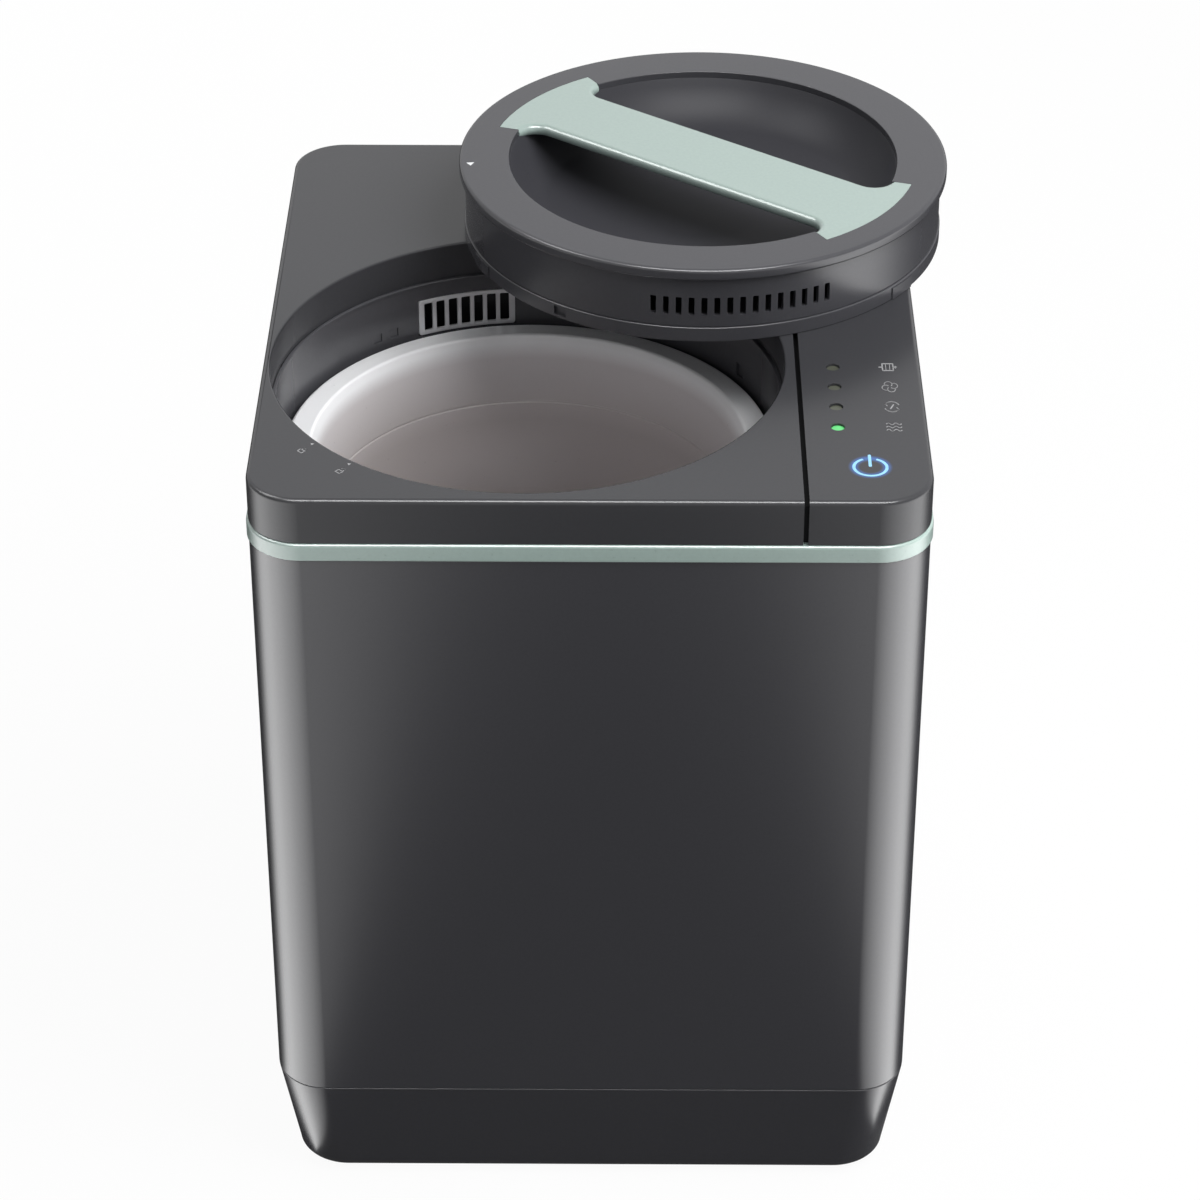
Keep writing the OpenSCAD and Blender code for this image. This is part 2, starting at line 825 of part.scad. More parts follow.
module toothed(n, bore) {
  rp = tooth_m * n / 2;
  radii = [rp - 1.2 * tooth_m, rp - 0.45 * tooth_m, rp + 0.2 * tooth_m, rp + 0.8 * tooth_m];
  difference() {
    polygon([for (k = [0 : n - 1], s = [-1, 1], j = [0 : 3])
      let (r = radii[s < 0 ? j : 3 - j], a = 360 / n * k + s * half_tooth(r, n)) [r * cos(a), r * sin(a)]]);
    circle(bore);
  }
}

gear_hub_r = shaft_r + 7;
module drive_gear() {
  color(pale) at_opening() difference() {
    union() {
      translate([0, 0, gear_z]) rotate([0, 0, motor_dir + 180 / gear_teeth])
        linear_extrude(gear_w) toothed(gear_teeth, shaft_r + run_gap);
      ring(gear_hub_r, shaft_r + run_gap, gear_z, gear_z + gear_w + 3);
    }
    for (a = [0 : 60 : 300]) rotate([0, 0, a])
      translate([(gear_r + gear_hub_r) / 2 - 2, 0, 0]) cylinder(r = 9, h = far);
  }
}

module motor_pinion() {
  color(brass) at_motor() translate([0, 0, gear_z - 1]) rotate([0, 0, motor_dir + 180])
    linear_extrude(gear_w + 2) toothed(pinion_teeth, motor_shaft_r + run_gap);
}

module drive_shaft() {
  color(steel) at_opening() {
    translate([0, 0, gearbox_z + 2 + seat_gap])
      cylinder(r = shaft_r, h = coupling_z - gearbox_z - 2 - seat_gap);
    ring(shaft_r + 2.5, shaft_r - eps, chassis_z + 1, chassis_z + 3);
  }
}

// Hexagon on the drive shaft, that enters the socket under the bucket
socket_roof = 1.5;
coupling_z = heater_top - 8;
coupling_top = liner_floor_z;
hex_top = bucket_floor_z - bucket_t - seat_gap - socket_roof - 0.5;
socket_r = 12.5;
module drive_coupling() {
  color(black) at_opening() {
    translate([0, 0, coupling_z]) cylinder(r = 11, h = coupling_top - coupling_z);
    translate([0, 0, coupling_top - eps]) cylinder(r = hex_r, h = hex_top - coupling_top, $fn = 6);
  }
}

module motor_case() {
  color(steel) at_motor() difference() {
    translate([0, 0, motor_z]) cylinder(r = motor_r, h = motor_h);
    translate([0, 0, motor_z + 4]) cylinder(r = motor_r - 3, h = motor_h - 8);
    translate([0, 0, motor_z + 2]) cylinder(r = motor_shaft_r + run_gap, h = far);
  }
}

stator_t = 9;
module motor_stator() {
  color(brass) at_motor()
    ring(motor_r - 3 - run_gap, motor_r - 3 - stator_t, motor_z + 8, motor_z + motor_h - 8);
}

module motor_rotor() {
  color(steel) at_motor() {
    translate([0, 0, motor_z + 2 + seat_gap])
      cylinder(r = motor_shaft_r, h = gear_z + gear_w + 2 - motor_z - 2 - seat_gap);
    ring(motor_r - 3 - stator_t - 1, motor_shaft_r - eps, motor_z + 9, motor_z + motor_h - 9);
  }
}

// Air path: duct behind the grille, fan, and the frame that holds the filters
module duct_solid(inset) {
  block(duct_left + inset, duct_right - inset, duct_front + inset, fan_front - inset,
    fan_z - fan_w / 2 + inset, step_z + 2 - inset);
  block(duct_left + inset, duct_inner_x - inset, inset > 0 ? -far : open_y + liner_r * 0.5, fan_front - inset,
    step_z - 8 + inset, duct_top - inset);
}

module air_duct() {
  color(black) difference() {
    place() difference() {
      duct_solid(0);
      duct_solid(duct_t);
      translate([0, fan_front - duct_t - 1, fan_z]) rotate([-90, 0, 0]) cylinder(r = fan_hole_r, h = duct_t + 2);
    }
    at_opening() {
      translate([0, 0, step_z - liner_t - seat_gap]) cylinder(r = liner_r + liner_t + seat_gap, h = far);
      cylinder(r = liner_in(step_z) + liner_t + jacket_t + 2 * seat_gap, h = step_z - liner_t);
    }
  }
}

fan_hub_r = 12;
module fan_frame() {
  color(black) place() translate([0, fan_front, fan_z]) rotate([-90, 0, 0]) {
    difference() {
      translate([-fan_w / 2, -fan_w / 2, 0]) cube([fan_w, fan_w, fan_t]);
      translate([0, 0, -1]) cylinder(r = fan_hole_r, h = fan_t + 2);
    }
    cylinder(r = fan_hub_r, h = 3);
    cylinder(r = 2, h = fan_t - 4);
    for (a = [45 : 90 : 315]) rotate([0, 0, a]) translate([fan_hub_r - 2, -2, 0])
      cube([fan_hole_r - fan_hub_r + 4, 4, 2]);
  }
}

module fan_rotor() {
  color(black) place() translate([0, fan_front, fan_z]) rotate([-90, 0, 0]) difference() {
    union() {
      translate([0, 0, 3 + seat_gap]) cylinder(r = fan_hub_r, h = fan_t - 4 - seat_gap);
      for (i = [0 : fan_blades - 1]) rotate([0, 0, i * 360 / fan_blades])
        translate([(fan_hub_r + fan_hole_r) / 2 - 1, 0, fan_t / 2 + 1]) rotate([35, 0, 0])
          cube([fan_hole_r - fan_hub_r - 0.6, 12, 1.4], center = true);
    }
    translate([0, 0, -1]) cylinder(r = 2 + run_gap, h = fan_t - 2.7);
  }
}

module filter_frame() {
  color(black) place() difference() {
    block(-frame_w / 2, frame_w / 2, frame_front, body_d / 2,
      filter_z - frame_t - fit, filter_z + filter_h + frame_t + fit);
    for (s = [-1, 1]) block(s * bay_x - bay_w / 2, s * bay_x + bay_w / 2, filter_front - 1, far,
      filter_z - fit, filter_z + filter_h + fit);
    block(-frame_w / 2 + frame_t + 4, frame_w / 2 - frame_t - 4, frame_front + frame_t, filter_front,
      filter_z + 4, filter_z + filter_h - 4);
    translate([0, 0, fan_z]) rotate([-90, 0, 0]) cylinder(r = fan_hole_r, h = filter_front - 1);
  }
}

// A filter box, with slots at the front and rear and a finger pull at the rear
module filter_case(s) {
  color(black) place() translate([s * bay_x, 0, filter_z]) difference() {
    block(-filter_w / 2, filter_w / 2, filter_front, body_d / 2 - 0.5, 0, filter_h);
    block(-filter_w / 2 + filter_t, filter_w / 2 - filter_t, filter_front + filter_t,
      body_d / 2 - pull_deep, filter_t, filter_h - filter_t);
    for (i = [0 : filter_slots - 1])
      translate([(i - (filter_slots - 1) / 2) * (filter_w - 2 * filter_t - 2) / filter_slots - 1.5, 0, 0]) {
        block(0, 3, filter_front - 1, filter_front + filter_t + 1, 10, filter_h - 10);
        block(0, 3, body_d / 2 - pull_deep - 1, far, 46, filter_h - 12);
      }
    block(-pull_w / 2, pull_w / 2, body_d / 2 - pull_deep + 2, far, 14, 36);
    block(-pull_w / 2, pull_w / 2, body_d / 2 - pull_deep + 2, body_d / 2 - 3, 14, 40);
  }
}

pull_deep = 14;
pull_w = 40;
module filter_carbon(s) {
  color(carbon) place() translate([s * bay_x, 0, filter_z])
    block(-filter_w / 2 + filter_t + run_gap, filter_w / 2 - filter_t - run_gap,
      filter_front + filter_t + run_gap, body_d / 2 - pull_deep - run_gap, filter_t, filter_h - filter_t - seat_gap);
}

module filter_case_left() {
  filter_case(-1);
}

module filter_case_right() {
  filter_case(1);
}

module carbon_left() {
  filter_carbon(-1);
}

module carbon_right() {
  filter_carbon(1);
}

// Electrics
inlet_flange = 4;
inlet_wall = 2;
module power_inlet() {
  color(black) place() difference() {
    union() {
      block(inlet_x - inlet_w / 2 + 0.2, inlet_x + inlet_w / 2 - 0.2, body_d / 2 - inlet_deep - 4,
        body_d / 2 + eps, inlet_z - inlet_h / 2 + 0.2, inlet_z + inlet_h / 2 - 0.2);
      block(inlet_x - inlet_w / 2 - inlet_flange, inlet_x + inlet_w / 2 + inlet_flange, body_d / 2,
        body_d / 2 + 1.6, inlet_z - inlet_h / 2 - inlet_flange, inlet_z + inlet_h / 2 + inlet_flange);
    }
    block(inlet_x - inlet_w / 2 + inlet_wall, inlet_x + inlet_w / 2 - inlet_wall,
      body_d / 2 - inlet_deep, far, inlet_z - inlet_h / 2 + inlet_wall, inlet_z + inlet_h / 2 - inlet_wall);
  }
}

module inlet_pins() {
  color(brass) place() for (p = [[-7, -1.5], [0, 1.5], [7, -1.5]])
    translate([inlet_x + p[0] - 1, body_d / 2 - inlet_deep, inlet_z + p[1] - 1.7])
      cube([2, inlet_deep - 3, 3.4]);
}

board_t = 1.6;
board_edge = 12;
transformer = [27.4, 32, 28];
relay = [16.4, 14, 20];
capacitor_r = 8;
capacitor_h = 22;
capacitor_edge = 22;
module power_board() {
  color(board_green) place() {
    block(board_x - board_t, board_x, board_y[0], board_y[1], board_z[0], board_z[1]);
    translate([board_x - board_t, board_y[0], board_z[0]]) {
      block(-transformer[0], eps, board_edge, board_edge + transformer[1], board_edge, board_edge + transformer[2]);
      block(-relay[0], eps, board_y[1] - board_y[0] - board_edge - relay[1], board_y[1] - board_y[0] - board_edge,
        board_edge, board_edge + relay[2]);
    }
    for (y = [board_y[0] + capacitor_edge, board_y[1] - capacitor_edge])
      translate([board_x - board_t + eps, y, board_z[1] - capacitor_edge])
        rotate([0, -90, 0]) cylinder(r = capacitor_r, h = capacitor_h);
  }
}

// Lid switch outside the liner, with a sprung plunger that the lid's lug pushes
switch_dir = 60;
switch_z = skirt_z - 16;
plunger_r = 1.6;
plunger_out = 0.5;
switch_gap = 3;
module lid_switch() {
  color(black) at_opening() rotate([0, 0, switch_dir]) difference() {
    translate([liner_r + liner_t - 1, -9, switch_z - 7]) cube([13, 18, 14]);
    cylinder(r = liner_r + liner_t + seat_gap, h = far);
    translate([0, 0, switch_z]) rotate([0, 90, 0])
      cylinder(r = plunger_r + run_gap, h = liner_r + liner_t + 8 + switch_gap);
  }
}

module switch_plunger() {
  color(pale) at_opening() rotate([0, 0, switch_dir])
    translate([liner_r - plunger_out, 0, switch_z]) rotate([0, 90, 0])
      cylinder(r = plunger_r, h = liner_t + plunger_out + 8);
}

module rubber_feet() {
  color(rubber) place() four_corners(pillar_x, pillar_y) cylinder(r = foot_r, h = foot_gap + foot_pocket);
}

// Bucket's wall with the turned-down rim, fixed bars and grinder
module bucket() {
  color(pale) at_opening() rotate_extrude() polygon([
    [bucket_in(bucket_floor_z) - 6, bucket_floor_z], [bucket_in(bucket_floor_z) + bucket_t, bucket_floor_z],
    [bucket_in(rim_z - 5) + bucket_t, rim_z - 5], [rim_r - 2 * bucket_t, rim_z - rim_turn - bucket_t],
    [rim_r - bucket_t, rim_z - rim_turn - 5], [rim_r, rim_z - rim_turn - 5], [rim_r, rim_z - rim_turn],
    [rim_r - 3, rim_z], [bucket_in(rim_z) + 2, rim_z - 0.6], [bucket_in(rim_z - 3), rim_z - 3],
    [bucket_in(bucket_floor_z + 6), bucket_floor_z + 6]]);
}

// Floor of the bucket, on the ring that it stands on
module bucket_base() {
  color(pale) at_opening() rotate_extrude() polygon([
    [shaft_r + 3.1, bucket_floor_z - bucket_t], [bucket_in(bucket_floor_z) - 3, bucket_floor_z - bucket_t],
    [bucket_in(bucket_floor_z) - 3, bucket_z], [bucket_in(bucket_floor_z) + bucket_t - 1, bucket_z],
    [bucket_in(bucket_floor_z) + bucket_t, bucket_floor_z], [shaft_r + 3.1, bucket_floor_z]]);
}

bush_flange = 3;
module grinder_bush() {
  color(brass) at_opening() {
    ring(shaft_r + 3, shaft_r + run_gap, bucket_floor_z - bucket_t, bucket_floor_z + eps);
    ring(shaft_r + 3 + bush_flange, shaft_r + run_gap, bucket_floor_z, bucket_floor_z + 2);
  }
}

arm_z = bucket_floor_z + 3;
bar_z = arm_z + arm_h + bar_gap;
arm_top_z = bar_z + bar_h + bar_gap;
grinder_top = arm_top_z + arm_h + 6;
module grinder_shaft() {
  color(steel) at_opening() {
    translate([0, 0, bucket_floor_z - bucket_t - seat_gap])
      cylinder(r = shaft_r, h = grinder_top - bucket_floor_z + bucket_t + seat_gap);
    translate([0, 0, grinder_top]) cylinder(r1 = shaft_r + 4, r2 = shaft_r + 1, h = 4);
  }
}

// An arm swept back from the hub, with a bevelled leading edge
module arm(reach) {
  intersection() {
    difference() {
      translate([reach / 2, -reach * 0.35, 0]) cylinder(r = reach * 0.62, h = arm_h);
      translate([reach / 2 + 1, -reach * 0.35 - 11, -1]) cylinder(r = reach * 0.62, h = arm_h + 2);
    }
    cylinder(r1 = reach, r2 = reach - arm_h / 2, h = arm_h);
    translate([0, -2, 0]) cube([reach + 1, reach, arm_h]);
  }
}

hub_r = shaft_r + 6;
module grinder_arms() {
  color(steel) at_opening() difference() {
    union() {
      translate([0, 0, arm_z - 0.5]) cylinder(r = hub_r, h = grinder_top - arm_z + 0.5);
      for (a = [0, 180]) rotate([0, 0, a]) {
        translate([0, 0, arm_z]) arm(arm_reach);
        translate([0, 0, arm_top_z]) rotate([0, 0, 90]) arm(arm_reach_top);
      }
    }
    cylinder(r = shaft_r + run_gap, h = far);
  }
}

module grinder_socket() {
  color(black) at_opening() difference() {
    translate([0, 0, bucket_z + 1.5])
      cylinder(r = socket_r, h = bucket_floor_z - bucket_t - seat_gap - bucket_z - 1.5);
    translate([0, 0, bucket_z]) cylinder(r = hex_r + hex_gap, h = hex_top + 0.5 - bucket_z, $fn = 6);
  }
}

module breaker_bars() {
  color(steel) at_opening() intersection() {
    for (a = [40, 220]) rotate([0, 0, a]) translate([hub_r + 3, -3, bar_z]) cube([far, 6, bar_h]);
    translate([0, 0, bar_z])
      cylinder(r1 = bucket_in(bar_z) - run_gap, r2 = bucket_in(bar_z + bar_h) - run_gap, h = bar_h);
  }
}

// Lid: shell with the rim and vent slots
module lid_shell() {
  color(graphite) at_lid() difference() {
    union() {
      ring(lid_rim_r, lid_skirt_r - lid_t, lid_h - lid_rim_h, lid_h);
      ring(lid_skirt_r, lid_skirt_r - lid_t, lid_collar_h, lid_h - 1);
      ring(lid_skirt_r - lid_t + eps, bowl_r, lid_h - lid_top_t, lid_h);
    }
    for (i = [0 : lid_slots - 1])
      rotate([0, 0, lid_slot_dir + (i - (lid_slots - 1) / 2) * lid_slot_pitch])
        translate([lid_skirt_r - lid_t - 1, -lid_slot_w / 2, (lid_h - lid_slot_h) / 2 - 1])
          cube([lid_t + 2, lid_slot_w, lid_slot_h]);
    translate([0, 0, lid_h - lid_top_t - 1]) linear_extrude(far) for (s = [0, 180])
      rotate(handle_dir + s) handle_sector(fit / 2);
  }
}

// Flat shapes of the handle: a sector at each end, and the bar with its filled corners
module handle_sector(grow) {
  intersection() {
    difference() {
      circle(handle_end_r + grow);
      circle(bowl_r - 1);
    }
    polygon([[0, 0], [far, far * tan(handle_end_half) + grow], [far, -far * tan(handle_end_half) - grow]]);
  }
}

fill_y = handle_w / 2 + handle_corner;
fill_r = bowl_r - fit - handle_corner;
fill_x = sqrt(fill_r * fill_r - fill_y * fill_y);
fill_dir = atan2(fill_y, fill_x);
module handle_corner_fill() {
  difference() {
    intersection() {
      polygon([[fill_x, 0], [fill_x, fill_y], [2 * fill_x, 2 * fill_y], [far, 2 * fill_y], [far, 0]]);
      circle(bowl_r - fit);
      polygon([[0, 0], [far, far * tan(fill_dir)], [far, 0]]);
    }
    translate([fill_x, fill_y]) circle(handle_corner);
  }
}

module handle_bar() {
  intersection() {
    square([2 * bowl_r, handle_w], center = true);
    circle(bowl_r - fit);
  }
  for (sx = [0, 1], sy = [0, 1]) mirror([sx, 0]) mirror([0, sy]) handle_corner_fill();
}

module lid_handle() {
  color(mint) at_lid() rotate([0, 0, handle_dir]) {
    translate([0, 0, lid_h - handle_t]) linear_extrude(handle_t) handle_bar();
    translate([0, 0, lid_h - lid_top_t]) linear_extrude(lid_top_t) for (s = [0, 180])
      rotate(s) handle_sector(0);
  }
}

// Bowl under the handle, as inner and outer revolved shapes
module bowl_shape(grow) {
  low = lid_h - bowl_deep - grow;
  rotate_extrude() {
    translate([0, low]) square([bowl_r - bowl_round, lid_h - low]);
    translate([0, low + bowl_round + grow]) square([bowl_r + grow, lid_h - low - bowl_round - grow]);
    intersection() {
      translate([bowl_r - bowl_round, low + bowl_round + grow]) circle(bowl_round + grow);
      translate([0, low]) square([far, lid_h]);
    }
  }
}

bowl_t = 2;
module lid_bowl() {
  color(gloss) at_lid() difference() {
    union() {
      intersection() {
        bowl_shape(bowl_t);
        cylinder(r = far, h = lid_h - lid_top_t);
      }
      ring(flange_r, bowl_r + 1, lid_h - lid_top_t - 2, lid_h - lid_top_t);
    }
    bowl_shape(0);
  }
}

// Collar with bayonet lugs and notches, baffle plate, seal and screws
module lid_collar() {
  color(graphite) at_lid() difference() {
    union() {
      ring(lid_collar_r, flange_r, 0, lid_collar_h);
      for (a = lug_dirs) arc_band(liner_r - seat_gap, lid_collar_r - 1, 0, lid_collar_h - 1, a - lug_half, a + lug_half);
    }
    for (a = lug_dirs) arc_band(far, lid_collar_r - 1.6, -1, lid_collar_h - 1.2,
      a + notch_turn - 1.7, a + notch_turn + 1.7);
  }
}

baffle_z = 2.4;
baffle_t = 1.8;
module lid_baffle() {
  color(gloss) at_lid() difference() {
    translate([0, 0, baffle_z]) cylinder(r = flange_r - seat_gap, h = baffle_t);
    for (a = [0 : 30 : 330]) rotate([0, 0, a]) translate([60, 0, 0]) cylinder(r = 5, h = 10);
    for (a = [45 : 90 : 315]) rotate([0, 0, a]) translate([screw_ring_r, 0, 0]) cylinder(r = 1.6, h = 10);
  }
}

module lid_seal() {
  color(rubber) at_lid() ring(flange_r - seat_gap, flange_r - 6, seat_gap, baffle_z);
}

screw_ring_r = 30;
module lid_screws() {
  color(steel) at_lid() for (a = [45 : 90 : 315]) rotate([0, 0, a]) translate([screw_ring_r, 0, 0]) {
    translate([0, 0, baffle_z - 2]) cylinder(r1 = 2.4, r2 = 3.2, h = 2);
    translate([0, 0, baffle_z - eps]) cylinder(r = 1.5, h = lid_h - bowl_deep - bowl_t - baffle_z);
  }
}

body_shell();
base_tray();
trim_band();
deck_cover();
control_cover();
gap_strip();
chamber_liner();
vent_grille();
insulation_jacket();
heater_plate();
heating_element();
thermal_cutouts();
heater_posts();
chassis_plate();
chassis_screws();
gearbox_housing();
gearbox_cover();
motor_case();
motor_stator();
air_duct();
fan_frame();
filter_frame();
power_inlet();
inlet_pins();
power_board();
control_board();
indicator_lenses();
lit_lens();
power_symbol();
lid_switch();
rubber_feet();
drive_shaft();
drive_gear();
drive_coupling();
motor_rotor();
motor_pinion();
fan_rotor();
switch_plunger();
bucket();
bucket_base();
breaker_bars();
grinder_bush();
grinder_shaft();
grinder_arms();
grinder_socket();
filter_case_left();
carbon_left();
filter_case_right();
carbon_right();
lid_shell();
lid_bowl();
lid_handle();
lid_collar();
lid_baffle();
lid_seal();
lid_screws();
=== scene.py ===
import json
import math

import bmesh
import bpy
from mathutils import Matrix, Vector

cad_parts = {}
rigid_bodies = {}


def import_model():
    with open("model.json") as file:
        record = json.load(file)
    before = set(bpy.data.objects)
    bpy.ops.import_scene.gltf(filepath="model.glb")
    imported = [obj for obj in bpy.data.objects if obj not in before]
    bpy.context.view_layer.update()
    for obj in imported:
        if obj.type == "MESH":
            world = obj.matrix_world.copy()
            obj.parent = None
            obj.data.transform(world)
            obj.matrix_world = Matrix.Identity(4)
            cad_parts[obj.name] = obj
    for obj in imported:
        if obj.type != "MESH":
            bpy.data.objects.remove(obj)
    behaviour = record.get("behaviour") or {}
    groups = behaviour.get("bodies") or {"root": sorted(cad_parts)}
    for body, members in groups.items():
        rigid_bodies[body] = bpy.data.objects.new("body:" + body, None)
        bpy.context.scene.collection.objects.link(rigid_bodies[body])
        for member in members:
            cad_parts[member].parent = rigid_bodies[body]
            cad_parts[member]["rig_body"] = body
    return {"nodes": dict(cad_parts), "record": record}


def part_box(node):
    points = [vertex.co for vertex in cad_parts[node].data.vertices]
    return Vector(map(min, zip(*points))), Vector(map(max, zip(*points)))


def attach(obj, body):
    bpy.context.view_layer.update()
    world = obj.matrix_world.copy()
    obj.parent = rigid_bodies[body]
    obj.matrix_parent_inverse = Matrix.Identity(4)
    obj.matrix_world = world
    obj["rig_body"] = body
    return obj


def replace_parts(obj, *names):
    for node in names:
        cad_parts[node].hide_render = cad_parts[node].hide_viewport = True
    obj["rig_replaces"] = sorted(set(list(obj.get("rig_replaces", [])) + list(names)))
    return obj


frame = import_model()
scene = bpy.context.scene
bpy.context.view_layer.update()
mm = 0.001


def middle(node):
    low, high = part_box(node)
    return (low + high) / 2


# Where the pieces' own origins are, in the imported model
shellMiddle, bucketMiddle, lidMiddle = middle("body_shell"), middle("bucket"), middle("lid_shell")
atBody = Vector((shellMiddle.x, shellMiddle.y, 0))
atOpening = Vector((bucketMiddle.x, bucketMiddle.y, 0))
atLid = Vector((lidMiddle.x, lidMiddle.y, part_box("lid_collar")[0].z))
atFrame = Vector((0, 0, 0))


plastics = {  # colour, roughness, grain size, grain strength, gloss of the skin, shine
    "graphite_body": ((0.045, 0.045, 0.052), 0.21, 1500, 0.04, 0.0, 0.68),
    "graphite_base": ((0.046, 0.046, 0.053), 0.24, 1500, 0.04, 0.0, 0.45),
    "graphite_deck": ((0.042, 0.0425, 0.047), 0.25, 1500, 0.05, 0.0, 0.34),
    "graphite_lid": ((0.057, 0.057, 0.064), 0.26, 1400, 0.05, 0.0, 0.36),
    "dark_gloss": ((0.066, 0.066, 0.073), 0.22, 700, 0.02, 0.0, 0.5),
    # the lid bowl's dark gloss, darkened as painted shade under the handle
    "lid_bowl_gloss": ((0.040, 0.040, 0.046), 0.42, 700, 0.02, 0.0, 0.08),
    "mint": ((0.41, 0.53, 0.49), 0.28, 1600, 0.03, 0.3, 0.8),
    # the handle's mint: the band's mint, darkened as painted shade on the handle
    "mint_handle": ((0.33, 0.415, 0.385), 0.22, 1600, 0.03, 0.3, 0.5),
    "bucket_coating": ((0.82, 0.825, 0.84), 0.28, 1100, 0.03, 0.1, 0.5),
    "black_plastic": ((0.012, 0.012, 0.014), 0.42, 1300, 0.10, 0.0, 0.4),
    # black plastic darkened further as painted shade deep in the deck's gap
    "gap_black": ((0.003, 0.003, 0.004), 0.6, 1300, 0.05, 0.0, 0.1),
    "coupling_plastic": ((0.02, 0.02, 0.022), 0.38, 1100, 0.08, 0.0, 0.5),
    "gear_plastic": ((0.66, 0.64, 0.57), 0.40, 1000, 0.06, 0.0, 0.5),
    "rubber_foot": ((0.014, 0.014, 0.014), 0.75, 900, 0.20, 0.0, 0.4),
    "seal_rubber": ((0.05, 0.05, 0.052), 0.68, 900, 0.18, 0.0, 0.4),
    "carbon": ((0.010, 0.010, 0.011), 0.9, 420, 0.9, 0.0, 0.3),
    "insulation_wool": ((0.62, 0.60, 0.52), 0.95, 260, 1.0, 0.0, 0.3),
    "circuit_board": ((0.02, 0.10, 0.045), 0.35, 600, 0.15, 0.3, 0.5),
}
metals = {  # colour, roughness, brushing along each axis, brushing strength, metal share
    "sheet_steel": ((0.60, 0.61, 0.63), 0.34, (400, 30, 400), 0.08, 1.0),
    "grille_steel": ((0.62, 0.62, 0.64), 0.42, (60, 60, 900), 0.06, 0.45),
    "machined_steel": ((0.56, 0.57, 0.59), 0.26, (500, 500, 60), 0.10, 1.0),
    "blade_steel": ((0.62, 0.63, 0.65), 0.22, (60, 60, 700), 0.08, 1.0),
    "heater_aluminium": ((0.72, 0.72, 0.73), 0.42, (300, 300, 300), 0.12, 1.0),
    "heater_tube": ((0.30, 0.27, 0.25), 0.45, (300, 300, 300), 0.10, 1.0),
    "brass": ((0.72, 0.55, 0.25), 0.30, (400, 400, 80), 0.08, 1.0),
    "copper_winding": ((0.72, 0.34, 0.16), 0.38, (30, 30, 1400), 0.6, 1.0),
}
lamps = {  # colour, glow, roughness
    "lens_off": ((0.075, 0.080, 0.060), 0.0, 0.25),
    "lens_lit": ((0.09, 0.46, 0.14), 0.55, 0.25),
    "light_guide": ((0.22, 0.46, 0.68), 0.5, 0.35),
}
patterns = {  # cloud size, darkest and palest tint, least and most roughness, depth of the bump
    "plastic": {"cloud": 700, "tint": (0.975, 1.025), "rough": (0.97, 1.03), "depth": 0.0003, "coatRoughness": 0.22},
    "metal": {"cloud": 25, "tint": (0.95, 1.04), "rough": (0.85, 1.15), "depth": 0.0002},
    "lamp": {"cloud": 500, "tint": (0.92, 1.08)},
    "print": {"cloud": 900},
}


def startFinish(name):
    material = bpy.data.materials.new(name)
    material.use_nodes = True
    tree = material.node_tree
    return material, tree.nodes, tree.links, tree.nodes["Principled BSDF"]


def copyFinish(source, name):
    material = finishes[source].copy()
    material.name = name
    tree = material.node_tree
    return material, tree.nodes, tree.links, tree.nodes["Principled BSDF"]


def patternNoise(nodes, links, stretch, detail=4.0):  # stretch: one number, or one for each axis
    place = nodes.new("ShaderNodeTexCoord")
    turn = nodes.new("ShaderNodeMapping")
    turn.inputs["Scale"].default_value = stretch if isinstance(stretch, tuple) else (stretch,) * 3
    noise = nodes.new("ShaderNodeTexNoise")
    noise.inputs["Scale"].default_value = 1.0
    noise.inputs["Detail"].default_value = detail
    links.new(place.outputs["Object"], turn.inputs["Vector"])
    links.new(turn.outputs["Vector"], noise.inputs["Vector"])
    return noise.outputs["Fac"]


def spread(nodes, links, source, low, high, fromLow=0.3, fromHigh=0.7, how="LINEAR"):
    change = nodes.new("ShaderNodeMapRange")
    change.interpolation_type = how
    for socket, value in (("From Min", fromLow), ("From Max", fromHigh), ("To Min", low), ("To Max", high)):
        change.inputs[socket].default_value = value
    links.new(source, change.inputs["Value"])
    return change.outputs["Result"]


def ramp(nodes, links, source, stops):
    blend = nodes.new("ShaderNodeValToRGB")
    while len(blend.color_ramp.elements) < len(stops):
        blend.color_ramp.elements.new(0.5)
    for element, (place, colour) in zip(blend.color_ramp.elements, stops):
        element.position = place
        element.color = (*colour, 1)
    links.new(source, blend.inputs["Fac"])
    return blend.outputs["Color"]


def tinted(nodes, links, source, colour, tint):  # the colour a little darker and a little paler
    shades = [tuple(min(1, c * share) for c in colour) for share in tint]
    return ramp(nodes, links, source, [(0.3, shades[0]), (0.7, shades[1])])


def calculate(nodes, links, how, first, second=0.0):
    step = nodes.new("ShaderNodeMath")
    step.operation = how
    for socket, value in zip(step.inputs, (first, second)):
        if isinstance(value, float):
            socket.default_value = value
        else:
            links.new(value, socket)
    return step.outputs["Value"]


def objectAxes(nodes, links):
    place = nodes.new("ShaderNodeTexCoord")
    axes = nodes.new("ShaderNodeSeparateXYZ")
    links.new(place.outputs["Object"], axes.inputs["Vector"])
    return axes.outputs


def surfaceBump(nodes, links, shader, source, strength, distance):
    bump = nodes.new("ShaderNodeBump")
    bump.inputs["Strength"].default_value = strength
    bump.inputs["Distance"].default_value = distance
    links.new(source, bump.inputs["Height"])
    links.new(bump.outputs["Normal"], shader.inputs["Normal"])


